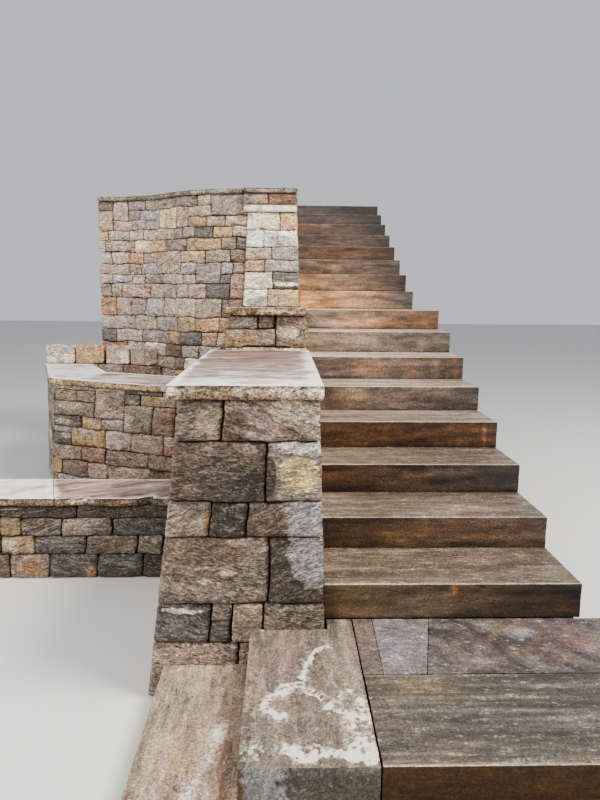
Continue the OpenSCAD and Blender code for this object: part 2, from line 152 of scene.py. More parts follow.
def speckle(at, scale, detail=3.0, rough=0.55, stretch=None, warp=0.0):
    """A noise value at a position, stretched along a bed or a saw's run where asked."""
    if stretch:
        at = vector_step("MULTIPLY", at, stretch)
    values = {"Vector": at, "Scale": scale, "Detail": detail, "Roughness": rough, "Distortion": warp}
    return wire(at.tree, "ShaderNodeTexNoise", values, "Fac")


def attribute(tree, name, result="Color"):
    return wire(tree, "ShaderNodeAttribute", None, result, attribute_name=name)


def split_color(color):
    """The three channels of a colour."""
    parts = put(color.tree, "ShaderNodeSeparateColor", {"Color": color}).outputs
    return [Wire(color.tree, one) for one in parts]


def face_group(name, inputs, look):
    """A node group for one kind of stone face: look turns its inputs into the three results."""
    tree = bpy.data.node_groups.new(name, "ShaderNodeTree")
    results = {"Color": "Color", "Height": "Float", "Roughness": "Float"}
    for direction, sockets in (("INPUT", inputs), ("OUTPUT", results)):
        for label, kind in sockets.items():
            tree.interface.new_socket(label, in_out=direction, socket_type="NodeSocket" + kind)
    given = {one.name: Wire(tree, one) for one in tree.nodes.new("NodeGroupInput").outputs}
    end = tree.nodes.new("NodeGroupOutput")
    for label, result in zip(results, look(given)):
        tree.links.new(result.socket, end.inputs[label])
    return tree


def face_look(group, values):
    """The colour, height and roughness that a stone face's group gives for these values."""
    tree = values["Position"].tree
    used = put(tree, "ShaderNodeGroup", values, node_tree=group)
    return [Wire(tree, used.outputs[label]) for label in ("Color", "Height", "Roughness")]


def finish_material(name, look, relief):
    """A material: look gives its colour, height and roughness, and relief is the height's depth."""
    material = bpy.data.materials.new(name)
    material.use_nodes = True
    tree = material.node_tree
    color, height, roughness = look(wire(tree, "ShaderNodeTexCoord", None, "Object"))
    bump = wire(tree, "ShaderNodeBump", {"Height": height, "Strength": 1.0, "Distance": relief})
    shader = tree.nodes["Principled BSDF"]
    for label, result in (("Base Color", color), ("Roughness", roughness), ("Normal", bump)):
        tree.links.new(result.socket, shader.inputs[label])
    return material


def split_look(given):
    """A split sandstone face: slanting beds, warm and cold patches, grains and pits, with painted
    highlights on the crests of its threads and ridges and painted shade in the furrows beside the threads.
    """
    tree = given["Lay"].tree
    tilt, bedded, flecked = split_color(given["Lay"])
    slant = (tilt - 0.5) * 0.8
    turn = wire(tree, "ShaderNodeCombineXYZ", {"X": slant, "Y": slant})
    tilted = wire(tree, "ShaderNodeVectorRotate", {"Vector": given["Position"], "Rotation": turn},
                  rotation_type="EULER_XYZ")
    at = vector_step("ADD", tilted, vector_step("MULTIPLY", given["Lay"], (41.0, 17.0, 23.0)))
    patch = speckle(at, 10.0, 3.0, 0.6, (1.0, 1.0, 1.6))
    dash = speckle(at, 26.0, 6.0, 0.72, (1.0, 1.0, 3.0), 0.5)
    grain = speckle(at, 88.0, 4.0, 0.75, (0.75, 0.75, 1.5))
    grit = speckle(at, 210.0, 2.0, 0.6)
    fold = speckle(at, 17.0, 5.0, 0.6, (1.0, 1.0, 2.6), 0.9)
    net = speckle(at, 27.0, 3.0, 0.55, (1.0, 1.0, 3.4), 1.0)
    beds = speckle(at, 2.4, 4.0, 0.6, (3.0, 3.0, 20.0), 0.8)
    ridge, thread, furrow = abs(fold - 0.5), abs(net - 0.52), abs(net - 0.43)
    mask = given["Share"] + (dash - 0.5) * 1.1
    color = blend(ramp(mask, 0.42, 0.58), given["Tint"], given["Mark"])
    value = lift(dash, 0.44, 1.5) * lift(grain, 0.4, 1.6) * lift(patch, 0.8, 1.2)
    # Painted highlight and shade of the relief: pale threads on the crests, dark furrows beside them.
    value = value * (ramp(thread, 0.032, 0.0, 0.95) + 0.95) * (1.0 - ramp(furrow, 0.045, 0.0, 0.62))
    color = shaded(color, value)
    color = blend(ramp(patch, 0.53, 0.68, 0.12), color, srgb(160, 124, 84), "SOFT_LIGHT")
    color = blend(ramp(patch, 0.46, 0.34, 0.4), color, srgb(96, 98, 104), "SOFT_LIGHT")
    color = blend(ramp(beds, 0.55, 0.63) * bedded * 0.65, color, srgb(46, 38, 32))
    color = blend(ramp(beds, 0.43, 0.35) * bedded * 0.4, color, srgb(208, 194, 168))
    # Painted highlight: pale lines along the ridges' crests.
    color = blend(ramp(ridge, 0.03, 0.0, 0.36) * ramp(grain, 0.42, 0.6), color, srgb(222, 210, 186))
    color = blend(ramp(grain, 0.58, 0.7, 0.45) * flecked, color, srgb(232, 224, 206))
    color = blend(ramp(grit, 0.42, 0.32, 0.65), color, srgb(38, 32, 27))
    height = dash * 1.3 + grain * 0.6 - ridge * 1.6 - thread * 1.2 + beds * 0.4
    return color, height, patch * 0.25 + 0.66


split_face = face_group("split_face", {
    "Position": "Vector", "Tint": "Color", "Lay": "Color", "Mark": "Color", "Share": "Float"}, split_look)


def rubble_look(at):
    return face_look(split_face, {
        "Position": at, "Tint": attribute(at.tree, "tint"), "Lay": attribute(at.tree, "lay"),
        "Mark": attribute(at.tree, "mark"), "Share": attribute(at.tree, "mark", "Alpha")})


def bedding_look(at):
    grain = speckle(at, 60.0, 5.0, 0.7)
    patch = speckle(at, 7.0, 2.0)
    color = blend(lift(grain, 0.0, 1.0), srgb(44, 37, 31), srgb(96, 82, 68))
    color = blend(ramp(patch, 0.52, 0.7, 0.45), color, srgb(58, 62, 40))
    return color, grain, grain * 0.1 + 0.88


laid_stone = [finish_material("split_rubble", rubble_look, 0.011),
              finish_material("bedding_mortar", bedding_look, 0.006)]
units = {}


def cut_unit(columns, rows, layers):
    """A unit stone: a cube cut into a grid, its hidden back left as one face. Each size is cut once."""
    if (columns, rows, layers) in units:
        return units[columns, rows, layers]
    bm = bmesh.new()
    bmesh.ops.create_cube(bm, size=1.0, matrix=Matrix.Translation((0.5, 0.5, 0.5)))
    for axis, count in enumerate((columns, layers, rows)):
        run = [e for e in bm.edges if abs((e.verts[0].co - e.verts[1].co)[axis]) > 1e-4]
        if count > 1:
            bmesh.ops.subdivide_edges(bm, edges=run, cuts=count - 1, use_grid_fill=True)
    back = [f for f in bm.faces if f.calc_center_median().y > 0.999]
    bmesh.ops.dissolve_faces(bm, faces=back)
    for f in bm.faces:
        f.smooth = False
    mesh = bpy.data.meshes.new("unit_stone")
    bm.to_mesh(mesh)
    bm.free()
    units[columns, rows, layers] = mesh
    return mesh


def spread(index, count, size, rim=0.009):
    """Where a grid line falls on a stone of that size: one close to each arris, the rest even."""
    if index == 0 or index == count:
        return size * index / count
    rim = min(rim, size * 0.2)
    return rim + (size - 2 * rim) * (index - 1) / max(1, count - 2)


def near_end(at, size, reach):
    """1 at either end of a stone's side, falling to 0 a little way in."""
    return max(0.0, 1 - min(at, size - at) / reach)


def bleached(kind, tone):
    """A kind of stone in a wall of the given tone: the paler the wall, the greyer its stones."""
    color = ROCK[kind]
    grey = sum(color) / 3
    return [tone * (c + (grey - c) * 0.22 * max(0.0, tone - 1)) for c in color]


def lay_stone(bm, face, span, course, kind, rng, cell=0.03, thick=0.09, free=(False, False), joint=0.008,
              marks=(), tone=1.0, worn=1.0):
    """Lays one stone: fits a unit stone between its joints, breaks its outline and roughens its
    faces. free says which ends are a wall's corner, where the stone has no joint, and worn how
    round its arrises are."""
    place, length = face
    gaps = [joint / 2 * rng.uniform(0.35, 1.15) for _ in range(4)]
    s0, s1 = span[0] + (0 if free[0] else gaps[0]), span[1] - (0 if free[1] else gaps[1])
    z0, z1 = course[0] + gaps[2], course[1] - gaps[3]
    w, h = s1 - s0, z1 - z0
    if w < 0.02 or h < 0.01:
        return
    columns, rows = (max(3, min(48, round(size / cell) + 1)) for size in (w, h))
    layers = max(2, round(thick / cell / 1.5)) if any(free) else 2
    mesh = cut_unit(columns, rows, layers)
    tint, lay, mark = (bm.verts.layers.float_color[name] for name in ("tint", "lay", "mark"))
    shade, warm = rng.uniform(0.84, 1.16), rng.uniform(-0.05, 0.05)
    color = [min(0.9, c * shade * k) for c, k in zip(bleached(kind, tone), (1 + warm, 1, 1 - warm))]
    nature = (rng.random(), rng.choice((0.15, 0.35, 0.6, 0.95)), rng.choice((0.1, 0.25, 0.55)), 1)
    off = Vector((rng.uniform(-90, 90), rng.uniform(-90, 90), rng.uniform(-90, 90)))
    stand = rng.uniform(-0.006, 0.002)
    tilt_u, tilt_z = rng.uniform(-0.014, 0.014), rng.uniform(-0.03, 0.03)
    bulge = min(0.01 * worn, 0.12 * min(w, h))
    shape = min(1.0, min(w, h) / 0.1)
    first = len(bm.verts)
    bm.from_mesh(mesh)
    bm.verts.ensure_lookup_table()
    for v in bm.verts[first:]:
        i, j, k = round(v.co.x * columns), round(v.co.y * layers), round(v.co.z * rows)
        a, c = spread(i, columns, w), spread(k, rows, h)
        depth = 0.0 if j == 0 else 0.014 + (thick - 0.014) * (j - 1) / max(1, layers - 1)
        p = Vector((a, depth, c)) + off
        wave, ripple = noise.noise_vector(p * 8.0), noise.noise(p * 27.0)
        edge = min(a, w - a, c, h - c)
        deep = depth
        if j == 0:
            if edge > 1e-6:
                a, c = a + 0.3 * cell * rng.uniform(-1, 1), c + 0.3 * cell * rng.uniform(-1, 1)
            crown = 1 - max(0.0, 1 - edge / (0.025 * worn)) ** 2
            seat = noise.voronoi(p * 17.0)[1][0]
            facet = (p * 17.0 - seat).dot(noise.noise_vector(seat * 5.0))
            lumps = 0.007 * wave.y + 0.006 * abs(wave.z) + 0.003 * ripple + 0.009 * facet
            deep -= stand + bulge * crown + shape * lumps
            deep -= tilt_u * (a - w / 2) + tilt_z * (c - h / 2)
            deep = max(deep - 0.18 * cell * rng.random(), -0.014)
            if edge < 1e-6:
                deep += 0.003 + 0.004 * abs(ripple)
        if i in (0, columns):
            side = 1 if i == 0 else -1
            corner = free[0] if i == 0 else free[1]
            if corner:
                bite = 0.003 * abs(wave.x) + 0.0015 * abs(ripple)
            else:
                bite = 0.004 * abs(wave.x) + 0.0015 * ripple
            a += side * (bite + shape * worn * 0.003 * near_end(c, h, 0.014 * worn) ** 2)
        if k in (0, rows):
            side = 1 if k == 0 else -1
            round_off = 0.003 * worn * near_end(a, w, 0.014 * worn) ** 2
            c += side * shape * (0.004 * abs(wave.z) + 0.002 * ripple + round_off)
        v.co = place((s0 + a) / length, z0 + c, deep)
        share, chosen = 0.0, color
        for name, cx, cz, rx, rz in marks:
            here = 1 - 0.5 * ((a / w - cx) / rx) ** 2 - 0.5 * ((c / h - cz) / rz) ** 2
            if here > share:
                share, chosen = min(1.0, here), bleached(name, tone)
        # Painted highlight: the front face is lightened along its arrises, in tint and mark alike.
        rim = 1 + 0.5 * max(0.0, 1 - edge / 0.01) * max(0.0, 0.35 + 1.2 * ripple) if j == 0 else 1
        v[tint] = (*(value * rim for value in color), 1)
        v[lay] = nature
        v[mark] = (*(value * rim for value in chosen), share)


def leaning(plane):
    """A plane as a function of height, where an upright one is given by its number or point."""
    return plane if callable(plane) else lambda z: plane


def flat_face(a, b, inward, low=0.0, high=1.0):
    """A straight wall face from corner line a to corner line b, as seen from outside."""
    a, b = leaning(a), leaning(b)
    middle = (low + high) / 2
    length = (Vector(b(middle)) - Vector(a(middle))).length

    def place(f, z, d):
        (ax, ay), (bx, by) = a(z), b(z)
        return Vector((ax + (bx - ax) * f + inward[0] * d, ay + (by - ay) * f + inward[1] * d, z))

    return place, length


def four_faces(left, right, front, back, high):
    """The faces of a squared wall whose four planes may each lean."""
    left, right, front, back = (leaning(plane) for plane in (left, right, front, back))

    def face(side_a, end_a, side_b, end_b, inward):
        return flat_face(lambda z: (side_a(z), end_a(z)), lambda z: (side_b(z), end_b(z)), inward, 0, high)

    return {
        "front": face(left, front, right, front, (0, 1)),
        "left": face(left, back, left, front, (1, 0)),
        "right": face(right, front, right, back, (-1, 0)),
        "back": face(right, back, left, back, (0, -1)),
    }


def split_run(low, high, mean, rng, uneven=0.45):
    """Irregular cuts between two ends, about the mean apart."""
    count = max(1, round((high - low) / mean))
    parts = [rng.uniform(1 - uneven, 1 + uneven) for _ in range(count)]
    total, at, cuts = sum(parts), low, [low]
    for part in parts:
        at += (high - low) * part / total
        cuts.append(at)
    return cuts


def quoins(levels, rng, first=0, low=0.16, high=0.3):
    """For each course, whether this face's stone turns the corner, and how deep it goes."""
    return [((k + first) % 2 == 0, rng.uniform(low, high)) for k in range(len(levels) - 1)]


def other_side(turn):
    """The same corner stones as the next face meets them."""
    return [(not own, deep) for own, deep in turn]


def wander(face, low, high, amount=0.007):
    """The same face with its courses and joints laid by eye: both wander a little, less at the
    wall's ends, so that stones of two faces still meet at a corner."""
    place, length = face

    def by_eye(f, z, d):
        s = f * length
        ease = min(1.0, max(0.0, min(high - z, z - low, s, length - s) / 0.06)) * amount
        stray = noise.noise_vector(Vector((s * 7, z * 9, length * 31)))
        stray += 0.4 * noise.noise_vector(Vector((s * 26, z * 34, length * 31)))
        return place(f + ease * stray.x / length, z + ease * stray.y, d)

    return by_eye, length


def fill_face(bm, face, levels, rng, mean, kinds=MIXED, cell=0.035, start=None, end=None, reach=None,
              rows=None, marks=None, jump=0.0, skip=None, joint=0.008, tone=1.0, worn=1.0, stray=0.007):
    """Lays a face course by course. start and end are the corners' quoins as this face meets them,
    and reach trims a course's two ends. rows gives some courses' stones as they are seen, as (where
    it ends, kind, courses it is tall), None where a tall stone from below already stands; marks adds
    their patches. skip leaves out stones that nothing can see."""
    face = wander(face, levels[0], levels[-1], stray)
    length = face[1]
    rows, marks, blocked = rows or {}, marks or {}, []
    for k in range(len(levels) - 1):
        z0, z1 = levels[k], levels[k + 1]
        s0, s1 = reach(k) if reach else (0.0, length)
        owns_start, owns_end = bool(start) and start[k][0], bool(end) and end[k][0]
        s0 += start[k][1] if start and not owns_start else 0
        s1 -= end[k][1] if end and not owns_end else 0
        taken, blocked, at, stones = sorted(blocked), [], s0, []
        if k in rows:
            for n, (to, kind, *tall) in enumerate(rows[k]):
                a, b = max(at, s0), min(to * length, s1)
                at = b
                if kind:
                    stones.append((a, b, kind, tall[0] if tall else 1, marks.get((k, n), ())))
        else:
            for b0, b1 in [*taken, (s1, s1)]:
                if b0 - at > 0.03:
                    cuts = split_run(at, b0, mean * (0.8 + 3.0 * min(z1 - z0, 0.15)), rng)
                    for a, b in zip(cuts, cuts[1:]):
                        inner = k + 2 < len(levels) and a > s0 + 0.01 and b < s1 - 0.01
                        tall = 2 if inner and b - a > 0.1 and rng.random() < jump else 1
                        stones.append((a, b, rng.choice(kinds), tall, ()))
                at = max(at, b1)
        for a, b, kind, tall, marked in stones:
            if tall > 1:
                blocked.append((a, b))
            if b - a < 0.025 or skip and skip((a + b) / 2, z0, z1):
                continue
            at_start, at_end = owns_start and a <= s0 + 1e-6, owns_end and b >= s1 - 1e-6
            thick = (start[k][1] if at_start else end[k][1]) - joint if at_start or at_end else 0.09
            lay_stone(bm, face, (a, b), (z0, levels[k + tall]), kind, rng, cell, thick, (at_start, at_end),
                      joint, marked, tone, worn)


def draw_in(node, recess):
    """A wall's heart: a copy of its solid with the upright faces drawn in by the joints' depth."""
    bm = bmesh.new()
    bm.from_mesh(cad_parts[node].data)
    bmesh.ops.remove_doubles(bm, verts=bm.verts, dist=1e-5)
    bm.normal_update()
    shift = {}
    for v in bm.verts:
        upright = [f.normal for f in v.link_faces if abs(f.normal.z) < 0.7]
        sides = [Vector((n.x, n.y)).normalized() for n in upright]
        if not sides:
            continue
        one = sides[0]
        two = min(sides, key=lambda n: n.dot(one))
        if two.dot(one) > 0.95:
            step = sum(sides, Vector((0, 0))).normalized() * -recess
        else:
            cross = one.x * two.y - one.y * two.x
            step = one * 0
            if abs(cross) > 0.1:
                step = Vector((two.y - one.y, one.x - two.x)) * (-recess / cross)
        shift[v] = Vector((step.x, step.y, 0))
    for v, step in shift.items():
        v.co += step
    mesh = bpy.data.meshes.new(node + "_heart")
    bm.to_mesh(mesh)
    bm.free()
    return mesh


def start_wall(nodes, recess=0.022):
    """A wall's mesh, begun with the hearts of its solids."""
    bm = bmesh.new()
    for name in ("tint", "lay", "mark"):
        bm.verts.layers.float_color.new(name)
    for node in nodes:
        heart = draw_in(node, recess)
        bm.from_mesh(heart)
        bpy.data.meshes.remove(heart)
    for f in bm.faces:
        f.material_index = 1
    return bm


def finish_piece(bm, name, nodes, materials):
    """Turns a mesh into a piece that stands for its CAD nodes."""
    mesh = bpy.data.meshes.new(name)
    bm.to_mesh(mesh)
    bm.free()
    for material in materials:
        mesh.materials.append(material)
    piece = bpy.data.objects.new(name, mesh)
    bpy.context.scene.collection.objects.link(piece)
    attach(piece, "root")
    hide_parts(*nodes)
    return piece


def stair_z(y):
    """Height of the treads at a distance up the flight."""
    return LANDING_Z if y < 0 else LANDING_Z + RISE * (min(15, math.floor(y / GOING)) + 1)


def wall_right(z):
    """Where the cheek wall's right side, which leans away from the flight, stands at a height."""
    return -0.5 - 0.033 * z


rng = random.Random(11)
LOWER_X, UPPER_X, UPPER_Y, STRIP_X = 0.475, 0.346, 2.99, 0.582
bm = start_wall(["lower_footing"])
right_side = flat_face((LOWER_X, 0.0), (LOWER_X, UPPER_Y), (-1, 0), 0, 1.2)
levels = [RISE * n for n in range(10)]
fill_face(bm, right_side, levels, rng, 0.27, skip=lambda s, z0, z1: z1 > 1.27,
          reach=lambda k: (0.0 if k < 2 else GOING * (k - 1) + OVERLAP, UPPER_Y))
strip_side = flat_face((STRIP_X, STRIP_Y), (STRIP_X, 0.0), (-1, 0), 0, 0.24)
fill_face(bm, strip_side, [0, 0.13, 0.24], rng, 0.2)
finish_piece(bm, "lower_footing_rubble", ["lower_footing"], laid_stone)

bm = start_wall(["upper_footing"])
high_side = flat_face((UPPER_X, UPPER_Y), (UPPER_X, WALL_END), (-1, 0), 0, 2.3)
back_side = flat_face((UPPER_X, WALL_END), lambda z: (wall_right(z), WALL_END), (0, -1), 0, 2.3)
levels = [RISE * n for n in range(18)]
turn = quoins(levels, rng)
fill_face(bm, high_side, levels, rng, 0.3, end=turn,
          reach=lambda k: (0.0 if k < 10 else GOING * (k - 1) + OVERLAP - UPPER_Y, high_side[1]))
fill_face(bm, back_side, levels, rng, 0.3, start=other_side(turn))
finish_piece(bm, "upper_footing_rubble", ["upper_footing"], laid_stone)

bm = start_wall(["landing_footing"], 0.015)
end_side = flat_face((STRIP_X, -0.78), (STRIP_X, STRIP_Y), (-1, 0), 0, 0.14)
fill_face(bm, end_side, [0, 0.07, 0.14], rng, 0.2)
finish_piece(bm, "landing_footing_rubble", ["landing_footing"], laid_stone)

# The sixteen block steps: each one sawn block of brown and grey sandstone, a metre long, with
# its bottom 3 cm of depth under the next. Risers keep the stone's own dark, rusty figure, and
# treads are walked and rained pale, with white scuffs along the saw's run. Painted light goes
# into their colours too: a painted sheen makes the upper treads paler, the pale arris is partly
# wear and partly painted highlight, and painted shade darkens the blocks towards their right
# ends (partly damp), the crease at each riser's foot (with dirt) and the upper flight's risers.
PALE = srgb(206, 190, 166)


def mix3(a, b, f):
    f = min(1.0, max(0.0, f))
    return tuple(x + (y - x) * f for x, y in zip(a, b))


def drift(x, y, z):
    """A soft noise, from -1 to 1."""
    return noise.noise(Vector((x, y, z)))


def fade(distance, reach):
    """How strongly a line or edge shows at a distance from it."""
    return math.exp(-(distance / reach) ** 2)


def spot(x, z, cx, cz, rx, rz):
    """How strongly a mark at (cx, cz) shows at (x, z)."""
    return math.exp(-((x - cx) / rx) ** 2 - ((z - cz) / rz) ** 2)


def saw_grid(lo, hi, cells):
    """A sawn block, cut into a grid that can carry its figure."""
    bm = bmesh.new()
    size = Vector(hi) - Vector(lo)
    bmesh.ops.create_cube(bm, size=1.0, matrix=Matrix.Translation((Vector(lo) + Vector(hi)) / 2)
                          @ Matrix.Diagonal((*size, 1)))
    for axis, count in enumerate(cells):
        run = [e for e in bm.edges if abs((e.verts[0].co - e.verts[1].co)[axis]) > 1e-4]
        bmesh.ops.subdivide_edges(bm, edges=run, cuts=count - 1, use_grid_fill=True)
    return bm


def take_arris(bm, width):
    """Bevels every sharp edge and lets it wander a little, as handled blocks do."""
    bm.normal_update()
    bmesh.ops.dissolve_faces(bm, faces=[f for f in bm.faces if f.normal.z < -0.9])
    sharp = [e for e in bm.edges if len(e.link_faces) == 2 and e.calc_face_angle() > 0.6]
    bmesh.ops.bevel(bm, geom=sharp, offset=width, segments=2, profile=0.5, affect="EDGES", material=-1)
    bm.normal_update()
    for v in bm.verts:
        if len({tuple(round(c, 1) for c in f.normal) for f in v.link_faces}) > 1:
            worn = noise.noise(v.co * 18.0) * 0.5 + noise.noise(v.co * 60.0) * 0.5
            v.co -= v.normal * max(0.0, worn) * width * 1.4


def paint(bm, figure):
    """Writes the stone's figure into the mesh: figure(co, up) gives a colour, its bloom and how
    much it is walked on."""
    tint, bloom = bm.loops.layers.float_color.new("tint"), bm.loops.layers.float_color.new("bloom")
    known = {}
    for f in bm.faces:
        up = f.normal.z > 0.5
        for loop in f.loops:
            key = (loop.vert.index, up)
            if key not in known:
                color, white, tread = figure(loop.vert.co, up)
                known[key] = (*color, 1), (white, tread, 0, 1)
            loop[tint], loop[bloom] = known[key]


def sawn_look(given):
    """Sawn sandstone: a grain drawn out along its run, wavy beds, scuffs and a white bloom."""
    white, tread, _ = split_color(given["Bloom"])
    position = given["Position"]
    along = vector_step("MULTIPLY", position, given["Run"])
    line = speckle(along, 60.0, 4.0, 0.7, None, 0.2)
    streak = speckle(along, 22.0, 4.0, 0.6, None, 0.4)
    beds = speckle(along, 11.0, 4.0, 0.6, None, 1.6)
    grain = speckle(position, 95.0, 5.0, 0.75)
    patch = speckle(position, 6.0, 4.0, 0.6)
    grit = speckle(position, 240.0, 1.0)
    mottle = speckle(position, 17.0, 5.0, 0.65)
    speck = speckle(position, 170.0, 2.0, 0.6)
    value = lift(line, 0.78, 1.22) * lift(grain, 0.66, 1.34)
    value = value * (lift(patch, 0.86, 1.14) * lift(mottle, 0.88, 1.12)) * lift(speck, 0.58, 1.42)
    value = ((value - 1.0) * (tread * 0.1 + 0.9) + 1.0) * lift(streak, 0.8, 1.2)
    value = value * (1.0 - ramp(abs(beds - 0.5), 0.02, 0.0, 0.5) * ramp(patch, 0.42, 0.56))
    color = shaded(given["Tint"], value)
    calm = 1.0 - tread * 0.6
    color = blend(ramp(beds, 0.54, 0.64, 0.18) * calm, color, srgb(164, 112, 60), "SOFT_LIGHT")
    color = blend(ramp(beds, 0.46, 0.36, 0.4) * calm, color, srgb(54, 50, 52), "SOFT_LIGHT")
    color = blend(ramp(patch, 0.55, 0.7, 0.3), color, srgb(120, 118, 124), "SOFT_LIGHT")
    scuffs = ramp(line, 0.52, 0.66) * ramp(grain, 0.44, 0.62, 0.7) * tread * ramp(mottle, 0.38, 0.6)
    color = blend(scuffs, color, srgb(214, 202, 184))
    color = blend(ramp(line, 0.42, 0.32, 0.5) * tread, color, srgb(70, 58, 48))
    frost = white + (grain - 0.5) * 1.7 + (patch - 0.5) * 0.5
    color = blend(ramp(frost, 0.38, 0.95, 0.82), color, srgb(226, 218, 206))
    color = blend(ramp(grit, 0.66, 0.74, 0.6), color, srgb(44, 36, 30))
    damp = ramp(tread, 0.75, 1.0, 0.34)
    return color, grain * 0.5 + line * 0.5, tread * 0.2 + grain * 0.3 - damp + 0.36


sawn_face = face_group("sawn_face", {
    "Position": "Vector", "Run": "Vector", "Tint": "Color", "Bloom": "Color"}, sawn_look)


def sawn_material(name, run, relief=0.003):
    """Sawn stone whose grain runs along the axis that run shrinks."""
    def look(at):
        return face_look(sawn_face, {"Position": at, "Run": run, "Tint": attribute(at.tree, "tint"),
                                     "Bloom": attribute(at.tree, "bloom")})
    return finish_material(name, look, relief)


sawn_across = sawn_material("sawn_block_across", (0.22, 1.0, 1.0))
sawn_along = sawn_material("sawn_block_along", (1.0, 0.22, 1.0))

# Each step's riser: colour at the left end, colour at the right end, and its marks as
# (across, up, half width, half height, colour, strength).
risers = [
    ((88, 72, 52), (70, 60, 50), [
        (-0.1, 0.07, 0.12, 0.05, (96, 86, 74), 0.6), (0.0, 0.12, 0.012, 0.03, (170, 112, 60), 0.8),
        (0.43, 0.05, 0.03, 0.02, (130, 84, 40), 0.7)]),
    ((66, 53, 40), (110, 88, 70), [
        (-0.42, 0.03, 0.07, 0.03, (104, 86, 44), 0.6), (-0.15, 0.06, 0.2, 0.03, (128, 96, 60), 0.7),
        (0.1, 0.09, 0.15, 0.03, (84, 64, 50), 0.6)]),
    ((84, 60, 38), (80, 69, 60), [
        (-0.05, 0.09, 0.14, 0.04, (108, 78, 54), 0.6), (0.45, 0.08, 0.08, 0.08, (70, 66, 62), 0.8)]),
    ((76, 54, 36), (98, 68, 42), [
        (-0.1, 0.05, 0.03, 0.03, (124, 96, 70), 0.6), (0.01, 0.04, 0.03, 0.02, (124, 92, 44), 0.6),
        (0.165, 0.03, 0.02, 0.04, (130, 88, 56), 0.6), (0.29, 0.03, 0.012, 0.03, (134, 94, 60), 0.6),
        (0.43, 0.08, 0.009, 0.06, (180, 134, 94), 0.9)]),
    ((96, 80, 66), (110, 96, 84), [
        (-0.26, 0.08, 0.08, 0.05, (184, 160, 124), 0.75), (0.15, 0.08, 0.25, 0.04, (104, 92, 82), 0.5)]),
    ((106, 94, 86), (118, 98, 84), [
        (-0.12, 0.07, 0.11, 0.03, (168, 120, 84), 0.85), (0.17, 0.06, 0.03, 0.06, (156, 112, 80), 0.7),
        (0.32, 0.07, 0.025, 0.08, (184, 154, 122), 0.75), (0.45, 0.07, 0.02, 0.08, (180, 118, 76), 0.7)]),
    ((132, 114, 98), (128, 114, 102), [
        (0.18, 0.11, 0.2, 0.02, (92, 86, 88), 0.7), (0.3, 0.06, 0.03, 0.05, (182, 160, 128), 0.7),
        (-0.2, 0.08, 0.1, 0.04, (150, 126, 110), 0.5)]),
    ((122, 108, 98), (140, 104, 76), [
        (-0.1, 0.05, 0.2, 0.04, (170, 136, 100), 0.6), (0.1, 0.03, 0.15, 0.03, (192, 134, 84), 0.6),
        (0.42, 0.03, 0.04, 0.04, (196, 136, 96), 0.6)]),
    ((200, 146, 98), (132, 118, 106), [
        (-0.1, 0.07, 0.25, 0.06, (194, 150, 112), 0.6), (0.3, 0.08, 0.1, 0.08, (134, 122, 110), 0.7)]),
    ((174, 136, 100), (80, 70, 64), [(-0.1, 0.07, 0.2, 0.05, (146, 120, 92), 0.6)]),
    ((122, 102, 88), (118, 96, 82), [
        (-0.2, 0.06, 0.06, 0.05, (164, 128, 98), 0.7), (0.1, 0.09, 0.05, 0.03, (160, 132, 108), 0.6)]),
    ((104, 86, 72), (108, 76, 50), [(-0.1, 0.06, 0.25, 0.06, (140, 104, 76), 0.6)]),
    ((102, 91, 84), (110, 90, 76), [(-0.1, 0.07, 0.12, 0.03, (136, 116, 100), 0.6)]),
    ((118, 92, 74), (80, 66, 56), [(-0.05, 0.09, 0.2, 0.03, (98, 86, 74), 0.5)]),
    ((70, 60, 54), (92, 74, 62), [(-0.05, 0.06, 0.15, 0.04, (126, 100, 80), 0.6)]),
    ((80, 70, 64), (66, 55, 48), []),
]
